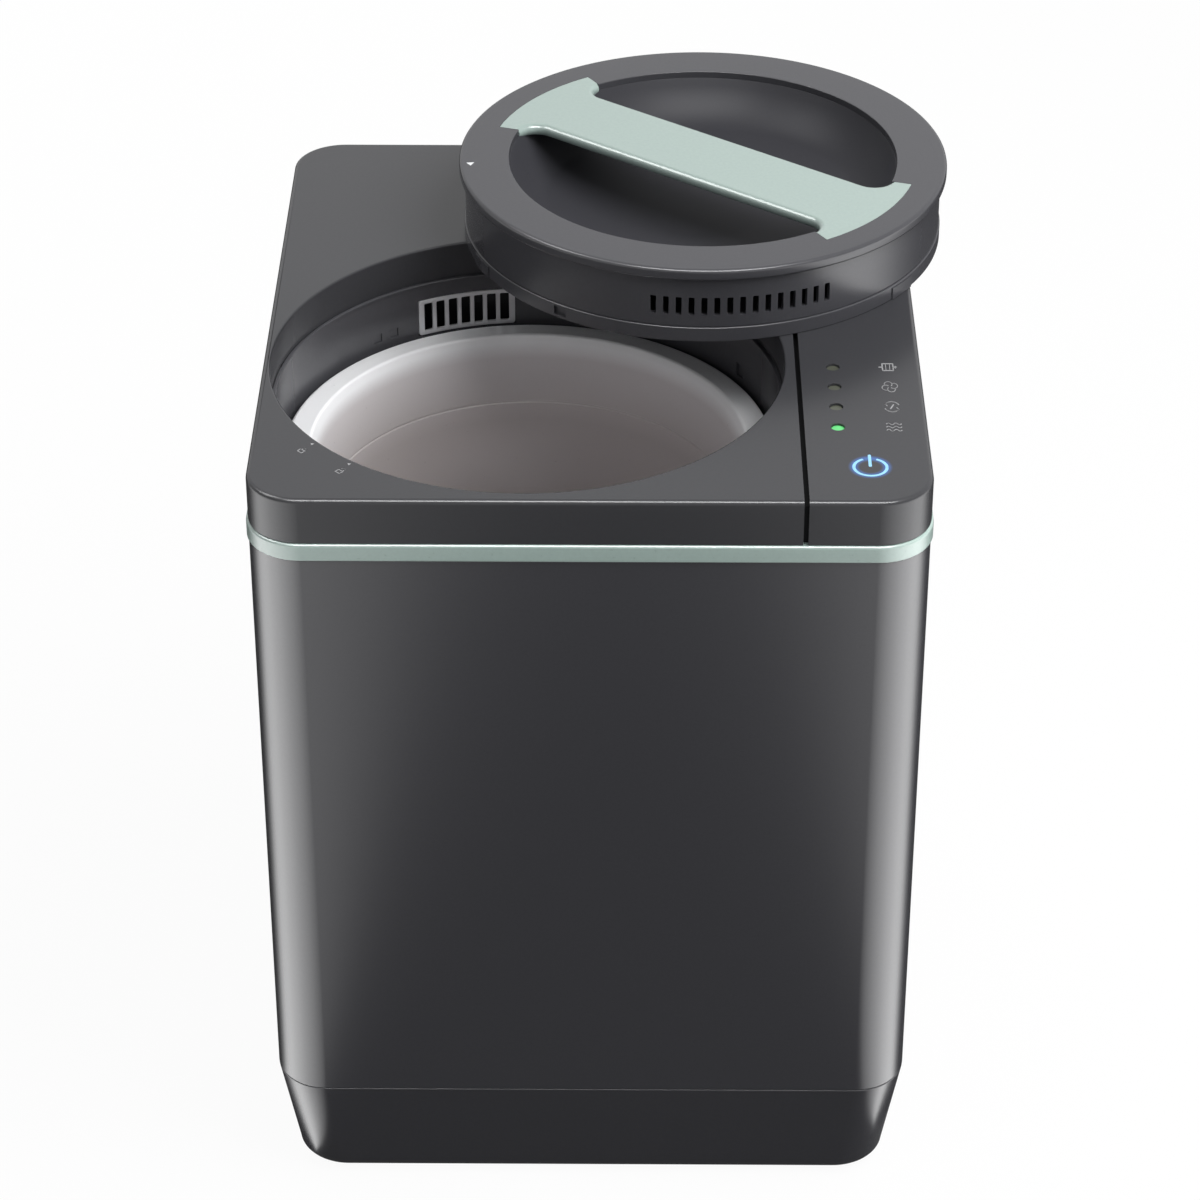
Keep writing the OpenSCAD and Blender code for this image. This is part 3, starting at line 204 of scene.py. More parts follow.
def plasticFinish(name):
    colour, roughness, grain, strength, coat, shine = plastics[name]
    look = patterns["plastic"]
    material, nodes, links, shader = startFinish(name)
    cloud = patternNoise(nodes, links, look["cloud"], 3.0)
    fine = patternNoise(nodes, links, grain, 2.0)
    links.new(tinted(nodes, links, cloud, colour, look["tint"]), shader.inputs["Base Color"])
    smooth, rough = (roughness * share for share in look["rough"])
    links.new(spread(nodes, links, cloud, smooth, rough, 0.2, 0.8), shader.inputs["Roughness"])
    surfaceBump(nodes, links, shader, fine, strength, look["depth"])
    shader.inputs["Specular IOR Level"].default_value = shine
    shader.inputs["Coat Weight"].default_value = coat
    shader.inputs["Coat Roughness"].default_value = look["coatRoughness"]
    return material


def metalFinish(name):
    colour, roughness, brushing, strength, share = metals[name]
    look = patterns["metal"]
    material, nodes, links, shader = startFinish(name)
    cloud = patternNoise(nodes, links, look["cloud"])
    lines = patternNoise(nodes, links, brushing, 3.0)
    links.new(tinted(nodes, links, cloud, colour, look["tint"]), shader.inputs["Base Color"])
    smooth, rough = (roughness * change for change in look["rough"])
    links.new(spread(nodes, links, lines, smooth, rough), shader.inputs["Roughness"])
    surfaceBump(nodes, links, shader, lines, strength, look["depth"])
    shader.inputs["Metallic"].default_value = share
    return material


def lampFinish(name):
    colour, glow, roughness = lamps[name]
    look = patterns["lamp"]
    material, nodes, links, shader = startFinish(name)
    tint = tinted(nodes, links, patternNoise(nodes, links, look["cloud"]), colour, look["tint"])
    links.new(tint, shader.inputs["Base Color"])
    shader.inputs["Roughness"].default_value = roughness
    if glow:
        links.new(tint, shader.inputs["Emission Color"])
        shader.inputs["Emission Strength"].default_value = glow
    return material


finishes = {name: plasticFinish(name) for name in plastics}
finishes.update({name: metalFinish(name) for name in metals})
finishes.update({name: lampFinish(name) for name in lamps})
print("finishes:", len(finishes))


# Shapes are in millimetres, from the piece's own origin
tiny = 0.01  # faces and edges nearer than this count as level
overlap = 0.05  # how far a cut goes past a face, and the clearance of let-in pieces
weldGap = 0.002  # points nearer than this become one
sharpEdge = 30  # an edge that turns more than this, in degrees, is softened
arcStep = 1.5  # degrees to a step of a short arc
cornerDetail = {"least": 3, "most": 24, "perMillimetre": 2.5}


def block(x0, x1, y0, y1, z0, z1):
    bm = bmesh.new()
    bmesh.ops.create_cube(bm, size=1)
    bmesh.ops.scale(bm, vec=(x1 - x0, y1 - y0, z1 - z0), verts=bm.verts)
    bmesh.ops.translate(bm, vec=((x0 + x1) / 2, (y0 + y1) / 2, (z0 + z1) / 2), verts=bm.verts)
    return bm


def bevel(bm, picked, width, segments):
    bmesh.ops.bevel(bm, geom=picked, offset=width, offset_type="OFFSET", segments=segments, profile=0.5,
                    affect="EDGES", material=-1, clamp_overlap=True)


def rod(radius, bottom, top, x=0, y=0, segments=48):
    bm = bmesh.new()
    bmesh.ops.create_cone(bm, cap_ends=True, segments=segments, radius1=radius, radius2=radius, depth=top - bottom)
    bmesh.ops.translate(bm, vec=(x, y, (top + bottom) / 2), verts=bm.verts)
    return bm


def cornerSteps(radius):
    return max(cornerDetail["least"], min(cornerDetail["most"], round(radius * cornerDetail["perMillimetre"])))


def turned(profile, steps, start=0.0, sweep=360.0, closed=True):  # points: radius, height and any rounding
    bm = bmesh.new()
    corners = [bm.verts.new((p[0], 0, p[1])) for p in profile]
    for pair in zip(corners, corners[1:] + corners[:1] if closed else corners[1:]):
        bm.edges.new(pair)
    for corner, point in zip(corners, profile):
        if len(point) > 2:
            bmesh.ops.bevel(bm, geom=[corner], offset=point[2], offset_type="OFFSET", segments=cornerSteps(point[2]),
                            profile=0.5, affect="VERTICES", material=-1)
    bmesh.ops.rotate(bm, cent=(0, 0, 0), matrix=Matrix.Rotation(math.radians(start), 3, "Z"), verts=bm.verts)
    full = sweep >= 360
    bmesh.ops.spin(bm, geom=bm.verts[:] + bm.edges[:], cent=(0, 0, 0), axis=(0, 0, 1), angle=math.radians(sweep),
                   steps=steps, use_merge=full)
    bmesh.ops.remove_doubles(bm, verts=bm.verts, dist=weldGap / 2)
    if not full:
        bmesh.ops.holes_fill(bm, edges=[e for e in bm.edges if e.is_boundary], sides=0)
    bmesh.ops.recalc_face_normals(bm, faces=bm.faces)
    return bm


def arcBlock(inner, outer, bottom, top, start, end):
    profile = [(inner, bottom), (outer, bottom), (outer, top), (inner, top)]
    return turned(profile, max(4, round(abs(end - start) / arcStep)), start, end - start)


def arcPoints(x, y, radius, start, end, count=10):
    angles = [math.radians(start + (end - start) * i / count) for i in range(count + 1)]
    return [(x + radius * math.cos(a), y + radius * math.sin(a)) for a in angles]


def moved(bm, x=0, y=0, turn=0):
    bmesh.ops.rotate(bm, cent=(0, 0, 0), matrix=Matrix.Rotation(math.radians(turn), 3, "Z"), verts=bm.verts)
    bmesh.ops.translate(bm, vec=(x, y, 0), verts=bm.verts)
    return bm


def holder(bm):
    bmesh.ops.recalc_face_normals(bm, faces=bm.faces)
    mesh = bpy.data.meshes.new("shape")
    bm.to_mesh(mesh)
    bm.free()
    item = bpy.data.objects.new("shape", mesh)
    scene.collection.objects.link(item)
    return item


def joined(base, tools, how):
    items = [holder(base)] + [holder(tool) for tool in tools]
    for tool in items[1:]:
        step = items[0].modifiers.new("shape", "BOOLEAN")
        step.operation, step.solver, step.object = how, "EXACT", tool
    bpy.context.view_layer.update()
    result = bmesh.new()
    result.from_object(items[0], bpy.context.evaluated_depsgraph_get())
    for item in items:
        mesh = item.data
        bpy.data.objects.remove(item)
        bpy.data.meshes.remove(mesh)
    bmesh.ops.remove_doubles(result, verts=result.verts, dist=weldGap)
    return result


def cut(base, *tools):
    return joined(base, tools, "DIFFERENCE")


def merged(base, *tools):
    return joined(base, tools, "UNION")


def addShape(target, extra):
    mesh = bpy.data.meshes.new("extra")
    extra.to_mesh(mesh)
    extra.free()
    target.from_mesh(mesh)
    bpy.data.meshes.remove(mesh)


# Which edges to soften: each of these gives a test of an edge's two ends
def above(z):
    return lambda a, b: min(a.z, b.z) > z - tiny


def below(z):
    return lambda a, b: max(a.z, b.z) < z + tiny


def along(axis, least=1):
    return lambda a, b: abs(getattr(a, axis) - getattr(b, axis)) > least


def outside(radius):
    return lambda a, b: min(a.xy.length, b.xy.length) > radius


def inside(radius):
    return lambda a, b: max(a.xy.length, b.xy.length) < radius


def level(a, b):
    return abs(a.z - b.z) < tiny


def softEdges(bm, width, segments=3, where=lambda a, b: True):
    picked = [e for e in bm.edges if len(e.link_faces) == 2 and math.degrees(e.calc_face_angle(0)) > sharpEdge
              and where(e.verts[0].co, e.verts[1].co)]
    if picked:
        bevel(bm, picked, width, segments)
    return bm


def finishPiece(bm, name, body, finish, at=atFrame, replaced=(), material=None, sharp=40):
    bmesh.ops.remove_doubles(bm, verts=bm.verts, dist=weldGap)
    bmesh.ops.recalc_face_normals(bm, faces=bm.faces)
    bmesh.ops.scale(bm, vec=(mm, mm, mm), verts=bm.verts)
    bmesh.ops.translate(bm, vec=at, verts=bm.verts)
    mesh = bpy.data.meshes.new(name)
    bm.to_mesh(mesh)
    bm.free()
    mesh.shade_smooth()
    mesh.set_sharp_from_angle(angle=math.radians(sharp))
    piece = bpy.data.objects.new(name, mesh)
    scene.collection.objects.link(piece)
    mesh.materials.append(material or finishes[finish])
    even = piece.modifiers.new("even", "WEIGHTED_NORMAL")
    even.keep_sharp = True
    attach(piece, body)
    if replaced:
        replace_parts(piece, *replaced)
    return piece


# Windows: left, right, bottom, top. Louvre: width, bottom, top. Rear: where cuts through the back wall start and end.
# Pillar and pocket: radius, bottom, top. Slot of the base: width, front, rear, bottom, top.
shell = {"width": 270, "depth": 310, "corner": 22, "cornerSteps": 18, "wall": 2.6, "bottom": 54, "top": 322.5,
         "edge": 0.6, "rear": (151, 160), "window": (-67, 67, 159, 285), "inlet": (70.5, 97.5, 82, 102),
         "louvres": 12, "louvrePitch": 8, "louvreX": 34, "louvre": (3, 77, 107), "slotEnd": 1.4}
base = {"top": 54, "edge": 0.6, "foot": 3, "taper": 7, "round": 5, "roundSteps": 8, "wall": 3, "pillars": (100, 118),
        "pillar": (7, 4, 150), "pocket": (10.3, 0, 5), "slots": 9, "slotX": -20.3, "slotPitch": 8,
        "slot": (3, -34.6, 25.4, 0, 8)}
band = {"bottom": 322.5, "top": 330, "proud": 0.8, "topEdge": 1.3, "lowEdge": 0.5}


def plan(inset, bottom, top):  # a block with the body's outline, drawn in by inset
    width, depth = shell["width"] - 2 * inset, shell["depth"] - 2 * inset
    bm = block(-width / 2, width / 2, -depth / 2, depth / 2, bottom, top)
    uprights = [e for e in bm.edges if along("z")(e.verts[0].co, e.verts[1].co)]
    bevel(bm, uprights, shell["corner"] - inset, shell["cornerSteps"])
    return bm


def makeShell():
    outer = softEdges(plan(0, shell["bottom"], shell["top"]), shell["edge"], 3, level)
    holes = [plan(shell["wall"], shell["bottom"] - 1, shell["top"] + 1)]
    for x0, x1, z0, z1 in (shell["window"], shell["inlet"]):
        holes.append(block(x0, x1, *shell["rear"], z0, z1))
    wide, z0, z1 = shell["louvre"]
    for i in range(shell["louvres"]):
        x = shell["louvreX"] - i * shell["louvrePitch"]
        holes.append(softEdges(block(x, x + wide, *shell["rear"], z0, z1), shell["slotEnd"], 4, along("y")))
    finishPiece(cut(outer, *holes), "bodyShell", "machine", "graphite_body", atBody, ["body_shell"])


def taperedForm(inset, low):  # runs in downwards and rolls under
    turnRadius = base["round"] - inset
    rollZ = base["foot"] + low + turnRadius
    bm = plan(inset, rollZ, base["top"])

    def drawIn(verts, z, amount, before):
        halves = (shell["width"] / 2 - inset, shell["depth"] / 2 - inset)
        share = [(half - amount) / (half - before) for half in halves]
        bmesh.ops.scale(bm, vec=(share[0], share[1], 1), verts=verts)
        for v in verts:
            v.co.z = z

    floor = min(bm.faces, key=lambda f: f.calc_center_median().z)
    drawIn(floor.verts[:], rollZ, base["taper"], 0)
    before = base["taper"]
    for i in range(base["roundSteps"]):
        angle = math.radians((i + 1) * 90 / base["roundSteps"])
        grown = bmesh.ops.extrude_face_region(bm, geom=[floor])["geom"]
        bmesh.ops.delete(bm, geom=[floor], context="FACES_ONLY")
        floor = [f for f in grown if isinstance(f, bmesh.types.BMFace)][0]
        amount = base["taper"] + turnRadius * (1 - math.cos(angle))
        drawIn(floor.verts[:], rollZ - turnRadius * math.sin(angle), amount, before)
        before = amount
    return bm


def makeBase():
    form = softEdges(taperedForm(0, 0), base["edge"], 3, above(base["top"]))
    hollow = taperedForm(base["wall"], base["wall"])
    bmesh.ops.translate(hollow, vec=(0, 0, overlap), verts=hollow.verts)
    px, py = base["pillars"]
    corners = [(sx * px, sy * py) for sx in (-1, 1) for sy in (-1, 1)]
    tray = merged(cut(form, hollow), *[rod(*base["pillar"], x, y) for x, y in corners])
    holes = [rod(*base["pocket"], x, y) for x, y in corners]
    wide, *slot = base["slot"]
    for i in range(base["slots"]):
        x = base["slotX"] + i * base["slotPitch"]
        holes.append(softEdges(block(x, x + wide, *slot), shell["slotEnd"], 4, along("z")))
    finishPiece(cut(tray, *holes), "baseTray", "machine", "graphite_body", atBody, ["base_tray"],
                finishes["graphite_base"])


def makeBand():
    form = plan(-band["proud"], band["bottom"], band["top"])
    softEdges(form, band["topEdge"], 5, above(band["top"]))
    softEdges(form, band["lowEdge"], 3, below(band["bottom"]))
    ring = cut(form, plan(shell["wall"], band["bottom"] - 1, band["top"] + 1))
    finishPiece(ring, "trimBand", "machine", "mint", atBody, ["trim_band"])


deck = {"top": 350, "thick": 3, "edge": 2, "lowEdge": 0.5, "open": (-26.5, -42.8), "openRadius": 105.8, "steps": 192,
        "skirt": 334, "skirtWall": 2.4, "lip": 0.9, "gapLeft": 83.5, "gapRight": 85.5, "gapDeep": 3.5, "gapEdge": 0.5}
symbol = {"x": 110.3, "y": -128.4, "radius": 7.1, "line": 1.2, "gap": 24, "bar": (0.3, 9.5), "deep": 0.8, "sunk": 0.04,
          "ends": 0.42, "glow": (0.02, 0.12, 0.42), "glowReach": 2.6}
lampRow = {"x": 98.9, "y": -49.1, "pitch": 16.1, "count": 4, "radius": 2.8, "sunk": 0.9, "deep": 4.5, "soft": 0.4,
           "holeDeep": 6, "holeEdge": 0.35}
beyond = {"side": 200, "low": 300, "high": 360}  # past the deck on every side


def rightOf(x):
    return block(x, beyond["side"], -beyond["side"], beyond["side"], beyond["low"], beyond["high"])


def leftOf(x):
    return block(-beyond["side"], x, -beyond["side"], beyond["side"], beyond["low"], beyond["high"])


def mouth(radius):
    return rod(radius, beyond["low"], beyond["high"], *deck["open"], deck["steps"])


def coverForm():
    form = plan(0, band["top"], deck["top"])
    softEdges(form, deck["edge"], 6, above(deck["top"]))
    return softEdges(form, deck["lowEdge"], 3, below(band["top"]))


def makeDeck():
    room = deck["gapLeft"] - shell["wall"]
    low = cut(plan(shell["wall"], band["top"] - 1, deck["skirt"]), rightOf(room))
    high = cut(plan(shell["wall"], deck["skirt"] - overlap, deck["top"] - deck["thick"]), rightOf(room),
               mouth(deck["openRadius"] + deck["skirtWall"]))
    cover = cut(coverForm(), rightOf(deck["gapLeft"]), low, high, mouth(deck["openRadius"]))
    onTop, centre = above(deck["top"]), Vector(deck["open"])

    def atMouth(a, b):
        return onTop(a, b) and all(abs((v.xy - centre).length - deck["openRadius"]) < 0.1 for v in (a, b))

    def atGap(a, b):
        return onTop(a, b) and min(a.x, b.x) > deck["gapLeft"] - tiny

    softEdges(cover, deck["lip"], 4, atMouth)
    softEdges(cover, deck["gapEdge"], 3, atGap)
    finishPiece(cover, "deckCover", "machine", "graphite_body", atBody, ["deck_cover"], finishes["graphite_deck"])


def symbolForm(grow, bottom, top):
    radius, line, gap = symbol["radius"], symbol["line"], symbol["gap"]
    arc = arcBlock(radius - line - grow, radius + grow, bottom, top, 90 + gap, 450 - gap)
    start, end = symbol["bar"]
    bar = block(-line / 2 - grow, line / 2 + grow, start - grow, end + grow, bottom, top)
    return [moved(softEdges(part, line * symbol["ends"], 5, along("z", 0.1)), symbol["x"], symbol["y"])
            for part in (arc, bar)]


def panelFinish():  # the control cover, with light spreading in it round the power symbol
    material, nodes, links, shader = copyFinish("graphite_deck", "graphite_panel")
    place = nodes.new("ShaderNodeTexCoord")
    away = nodes.new("ShaderNodeVectorMath")
    away.operation = "DISTANCE"
    away.inputs[1].default_value = atBody + Vector((symbol["x"], symbol["y"], deck["top"])) * mm
    links.new(place.outputs["Object"], away.inputs[0])
    ring = (symbol["radius"] - symbol["line"] / 2) * mm
    offRing = calculate(nodes, links, "SUBTRACT", away.outputs["Value"], ring)
    offRing = calculate(nodes, links, "ABSOLUTE", offRing)
    near = spread(nodes, links, offRing, 1.0, 0.0, 0.0, symbol["glowReach"] * mm, "SMOOTHSTEP")
    links.new(ramp(nodes, links, near, [(0.0, (0, 0, 0)), (1.0, symbol["glow"])]), shader.inputs["Emission Color"])
    shader.inputs["Emission Strength"].default_value = 1.0
    return material


def makeLenses(spots, name, finish, node):
    lenses, face = bmesh.new(), deck["top"] - lampRow["sunk"]
    for x, y in spots:
        lens = rod(lampRow["radius"], deck["top"] - lampRow["deep"], face, x, y)
        addShape(lenses, softEdges(lens, lampRow["soft"], 3, above(face)))
    finishPiece(lenses, name, "machine", finish, atBody, [node])


def makeControls():
    inner = cut(plan(shell["wall"], band["top"] - 1, deck["top"] - deck["thick"]),
                leftOf(deck["gapRight"] + shell["wall"]))
    spots = [(lampRow["x"], lampRow["y"] - i * lampRow["pitch"]) for i in range(lampRow["count"])]
    holes = [rod(lampRow["radius"] + overlap, deck["top"] - lampRow["holeDeep"], beyond["high"], x, y)
             for x, y in spots]
    cover = cut(coverForm(), leftOf(deck["gapRight"]), inner, *holes,
                *symbolForm(overlap, deck["top"] - symbol["deep"], deck["top"] + 2))
    onTop = above(deck["top"])

    def atLamps(a, b):
        reach = lampRow["radius"] + lampRow["soft"]
        return onTop(a, b) and all(min((v.xy - Vector(s)).length for s in spots) < reach for v in (a, b))

    def atGap(a, b):
        return onTop(a, b) and max(a.x, b.x) < deck["gapRight"] + tiny

    softEdges(cover, lampRow["holeEdge"], 3, atLamps)
    softEdges(cover, deck["gapEdge"], 3, atGap)
    finishPiece(cover, "controlCover", "machine", "graphite_body", atBody, ["control_cover"], panelFinish())
    makeLenses(spots[:-1], "unlitLenses", "lens_off", "indicator_lenses")
    makeLenses(spots[-1:], "litLens", "lens_lit", "lit_lens")
    guide = bmesh.new()
    for part in symbolForm(0, deck["top"] - symbol["deep"], deck["top"] - symbol["sunk"]):
        addShape(guide, part)
    finishPiece(guide, "powerSymbol", "machine", "light_guide", atBody, ["power_symbol"])
    strip = cut(plan(shell["wall"], band["top"], deck["top"] - deck["gapDeep"]), leftOf(deck["gapLeft"]),
                rightOf(deck["gapRight"]))
    # the strip at the bottom of the gap gets the darkened black: painted shade in the gap
    finishPiece(strip, "gapStrip", "machine", "black_plastic", atBody, ["gap_strip"], finishes["gap_black"])


makeShell()
makeBase()
makeBand()
makeDeck()
makeControls()
print("body made")


# Panel and notches: bottom, top and two angles round the opening. Cutter: its reach inwards and outwards.
# Window play: in height and in angle.
chamber = {"steps": 192, "radius": 104.2, "wall": 1.4, "top": 334, "step": 296, "floor": 194.2, "hole": 16,
           "slope": 13.5 / 104, "wallAtFloor": 79.64, "stepWall": 1.2, "outerRound": 3, "seamRound": 1,
           "mouthEdge": 0.4, "stepRound": 2.5, "stepEdge": 1.4, "floorRound": 5,
           "panel": (301, 333, 94.44, 143), "panelDeep": 0.5, "panelEdge": 0.3, "notchDeep": 1.1,
           "notches": ((312, 316, 124, 126.4), (312, 316, 128.6, 131), (311, 317, 29.6, 32.4))}
grille = {"slots": 7, "pitch": 3.15, "middle": 106.4, "half": 11.96, "low": 309.2, "high": 326, "thick": 1.2,
          "round": 2.2, "slot": 4, "slotHigh": 13.4, "edge": 3.4, "slotRound": 0.5, "soft": 0.2,
          "windowPlay": (0.15, 0.1), "cutter": (3, 4)}


def makeLiner():
    c, g = chamber, grille
    outer, stepRadius = c["wallAtFloor"] + c["wall"], c["wallAtFloor"] + c["slope"] * (c["step"] - c["floor"])
    form = turned([(c["hole"], c["floor"] - c["wall"]), (outer, c["floor"] - c["wall"], c["outerRound"]),
                   (stepRadius + c["stepWall"], c["step"] - c["wall"], c["seamRound"]),
                   (c["radius"] + c["wall"], c["step"] - c["wall"], c["seamRound"]),
                   (c["radius"] + c["wall"], c["top"]), (c["radius"], c["top"], c["mouthEdge"]),
                   (c["radius"], c["step"], c["stepRound"]), (stepRadius, c["step"], c["stepEdge"]),
                   (c["wallAtFloor"], c["floor"], c["floorRound"]), (c["hole"], c["floor"])], c["steps"])
    cutFrom = c["radius"] - 1
    panel = arcBlock(cutFrom, c["radius"] + c["panelDeep"], *c["panel"])
    softEdges(panel, c["panelEdge"], 2, outside(c["radius"]))
    up, aside = g["windowPlay"]
    window = arcBlock(cutFrom, c["radius"] + g["cutter"][0], g["low"] - up, g["high"] + up,
                      g["middle"] - g["half"] - aside, g["middle"] + g["half"] + aside)
    notches = [arcBlock(cutFrom, c["radius"] + c["notchDeep"], *notch) for notch in c["notches"]]
    finishPiece(cut(form, panel, window, *notches), "chamberLiner", "machine", "dark_gloss", atOpening,
                ["chamber_liner"])


def makeGrille():
    g, face = grille, chamber["radius"]
    plate = arcBlock(face + overlap, face + g["thick"], g["low"], g["high"], g["middle"] - g["half"],
                     g["middle"] + g["half"])

    def throughPlate(a, b):
        return level(a, b) and abs(a.xy.length - b.xy.length) > 0.5

    bevel(plate, [e for e in plate.edges if throughPlate(*(v.co for v in e.verts))], g["round"], 6)
    low, slots = g["low"] + g["edge"] / 2, []
    inwards, outwards = g["cutter"]
    for i in range(g["slots"]):
        slot = block(face - inwards, face + outwards, -g["slot"] / 2, g["slot"] / 2, low, low + g["slotHigh"])
        softEdges(slot, g["slotRound"], 3, along("x"))
        slots.append(moved(slot, turn=g["middle"] + (i - (g["slots"] - 1) / 2) * g["pitch"]))
    plate = softEdges(cut(plate, *slots), g["soft"], 2, inside(face + 0.1))
    finishPiece(plate, "ventGrille", "machine", "sheet_steel", atOpening, ["vent_grille"], finishes["grille_steel"])


# Foot: inner, outer and upper radius. Line: depth, half its height at the bottom and at the mouth of the groove.
bucketSize = {"steps": 192, "floor": 207, "bottom": 194.5, "floorRadius": 76, "slope": 13.5 / 104, "wall": 1.8,
              "hole": 8.1, "foot": (73, 76.8, 77.8), "footEdges": (1.2, 0.8), "floorRound": 8, "flare": 305,
              "rim": 102, "rimTop": 311, "rimLow": 304.2, "rimWall": (2.4, 2.1), "rimRoll": 1.2,
              "rimRounds": (3, 2, 0.5, 0.6, 2, 1.1, 2), "fillLine": 280, "line": (0.45, 0.3, 0.7)}
coatingAndPaintedShade = ((0.0, (0.29, 0.265, 0.262)), (0.62, (0.40, 0.365, 0.36)), (0.90, (0.66, 0.63, 0.635)),
           (0.965, (0.93, 0.935, 0.95)))  # from the floor to the rim: the coating's pale grey at the rim, darkened down the wall towards the floor as painted shade


def bucketFinish():  # the coating's pale grey on the rim, with painted shade: a warmer, darker grey down the wall towards the floor
    material, nodes, links, shader = copyFinish("bucket_coating", "bucket_coated")
    height = spread(nodes, links, objectAxes(nodes, links)["Z"], 0.0, 1.0, bucketSize["floor"] * mm,
                    bucketSize["rimTop"] * mm)
    links.new(ramp(nodes, links, height, coatingAndPaintedShade), shader.inputs["Base Color"])
    return material


def makeBucket():
    b = bucketSize

    def wallAt(z):
        return b["floorRadius"] + b["slope"] * (z - b["floor"])

    footIn, footOut, footTop = b["foot"]
    under, edge = b["footEdges"]
    flare, rim, rimTop, rimLow, line = b["flare"], b["rim"], b["rimTop"], b["rimLow"], b["fillLine"]
    rimIn, rimBack = b["rimWall"]
    rounds = b["rimRounds"]  # from the outside of the wall, round the rim, to the inside
    lineDeep, lineHalf, lineEnd = b["line"]
    form = turned([(b["hole"], b["floor"] - b["wall"]), (footIn, b["floor"] - b["wall"], under),
                   (footIn, b["bottom"], edge), (footOut, b["bottom"], edge), (footTop, b["floor"]),
                   (wallAt(flare) + b["wall"], flare, rounds[0]), (rim - rimIn, flare + 3, rounds[1]),
                   (rim - rimBack, rimLow, rounds[2]), (rim, rimLow, rounds[3]), (rim, rimTop - 1.0, rounds[4]),
                   (wallAt(rimTop) + b["rimRoll"], rimTop, rounds[5]), (wallAt(flare), flare + 0.5, rounds[6]),
                   (wallAt(line + lineEnd), line + lineEnd), (wallAt(line) + lineDeep, line + lineHalf),
                   (wallAt(line) + lineDeep, line - lineHalf), (wallAt(line - lineEnd), line - lineEnd),
                   (b["floorRadius"] + 0.5, b["floor"], b["floorRound"]), (b["hole"], b["floor"])], b["steps"])
    finishPiece(form, "bucket", "bucket", "bucket_coating", atOpening, ["bucket", "bucket_base"], bucketFinish())


makeLiner()
makeGrille()
makeBucket()
print("chamber made")


# Rises: from the collar's bottom and down from its top. Dish: radius, height and rounding of the bowl's two bends.
lid = {"steps": 216, "high": 34.4, "rim": 105.3, "rimHigh": 5, "side": 102.8, "wall": 2.2, "topThick": 3, "seam": 0.1,
       "rounds": (0.4, 1.5, 1.0, 0.4, 0.35), "slots": 15, "slotPitch": 2.98, "slotMiddle": -81.4, "slotWide": 2.5,
       "slotHigh": 8.2, "slotDrop": 1, "slotRound": 0.45, "cutter": (4, 2)}
collar = {"radius": 103.4, "high": 6.5, "flange": 97, "edge": 0.5, "lugs": (-156, -36, 84), "lugReach": 103.9,
          "lugHalf": 4, "lugRise": (0.2, 1), "notchTurn": 30, "notchHalf": 1.7, "notchDeep": 1.6,
          "notchRise": (1.3, 1.2)}
bowl = {"radius": 83.8, "deep": 27, "wall": 2, "lip": 0.25, "lipRound": 0.15, "dish": ((46, 0, 22), (74.5, 8.2, 15))}
handle = {"turn": -37, "width": 39, "thick": 5.4, "endRadius": 92.5, "endHalf": 20, "corner": 8, "gap": 0.3,
          "lip": 2.65, "lipSteps": 8, "edge": 0.25, "pocketPlay": (0.15, 0.1)}


def makeLidShell():
    top, under = lid["high"], lid["high"] - lid["topThick"]
    bowlEdge, crown, lip, nook, foot = lid["rounds"]
    bottom, innerSide = collar["high"] + lid["seam"], lid["side"] - lid["wall"]
    form = turned([(bowl["radius"], top, bowlEdge), (lid["rim"], top, crown), (lid["rim"], top - lid["rimHigh"], lip),
                   (lid["side"], top - lid["rimHigh"], nook), (lid["side"], bottom, foot), (innerSide, bottom),
                   (innerSide, under), (bowl["radius"], under)], lid["steps"])
    low, wide, tools = (top - lid["slotHigh"]) / 2 - lid["slotDrop"], lid["slotWide"], []
    inwards, outwards = lid["cutter"]
    for i in range(lid["slots"]):
        slot = block(lid["side"] - inwards, lid["side"] + outwards, -wide / 2, wide / 2, low, low + lid["slotHigh"])
        softEdges(slot, lid["slotRound"], 3, along("x"))
        tools.append(moved(slot, turn=lid["slotMiddle"] + (i - (lid["slots"] - 1) / 2) * lid["slotPitch"]))
    out, aside = handle["pocketPlay"]
    half = handle["endHalf"] + aside
    for turn in (handle["turn"], handle["turn"] + 180):  # pockets for the handle's ends
        tools.append(arcBlock(bowl["radius"] - 3, handle["endRadius"] + out, under - 1, top + 1, turn - half,
                              turn + half))
    finishPiece(cut(form, *tools), "lidShell", "lid", "graphite_lid", atLid, ["lid_shell"])


def makeLidCollar():
    c = collar
    form = turned([(c["flange"], 0, c["edge"]), (c["radius"], 0, c["edge"]), (c["radius"], c["high"], c["edge"]),
                   (c["flange"], c["high"])], lid["steps"])
    low, high = c["lugRise"]
    lugs = [arcBlock(c["radius"] - 1, c["lugReach"], low, c["high"] - high, a - c["lugHalf"], a + c["lugHalf"])
            for a in c["lugs"]]
    low, high = c["notchRise"]
    middles = [a + c["notchTurn"] for a in c["lugs"]]
    notches = [arcBlock(c["radius"] - c["notchDeep"], c["radius"] + 3, low, c["high"] - high, a - c["notchHalf"],
                        a + c["notchHalf"]) for a in middles]
    finishPiece(cut(merged(form, *lugs), *notches), "lidCollar", "lid", "graphite_lid", atLid, ["lid_collar"])


def makeBowl():
    top, floor = lid["high"] - lid["topThick"], lid["high"] - bowl["deep"]
    r, t, flange = bowl["radius"], bowl["wall"], collar["flange"]
    (x0, up0, soft0), (x1, up1, soft1) = bowl["dish"]
    form = turned([(0, floor), (x0, floor + up0, soft0), (x1, floor + up1, soft1),
                   (r - bowl["lip"], top, bowl["lipRound"]), (flange, top), (flange, top - t), (r + t, top - t),
                   (x1 + t, floor + up1 - t, soft1 + t), (x0 + t, floor + up0 - t, soft0 + t), (0, floor - t)],
                  chamber["steps"], closed=False)
    # the bowl takes a darker copy of the dark gloss: painted shade under the handle
    finishPiece(form, "lidBowl", "lid", "dark_gloss", atLid, ["lid_bowl"], finishes["lid_bowl_gloss"], 50)


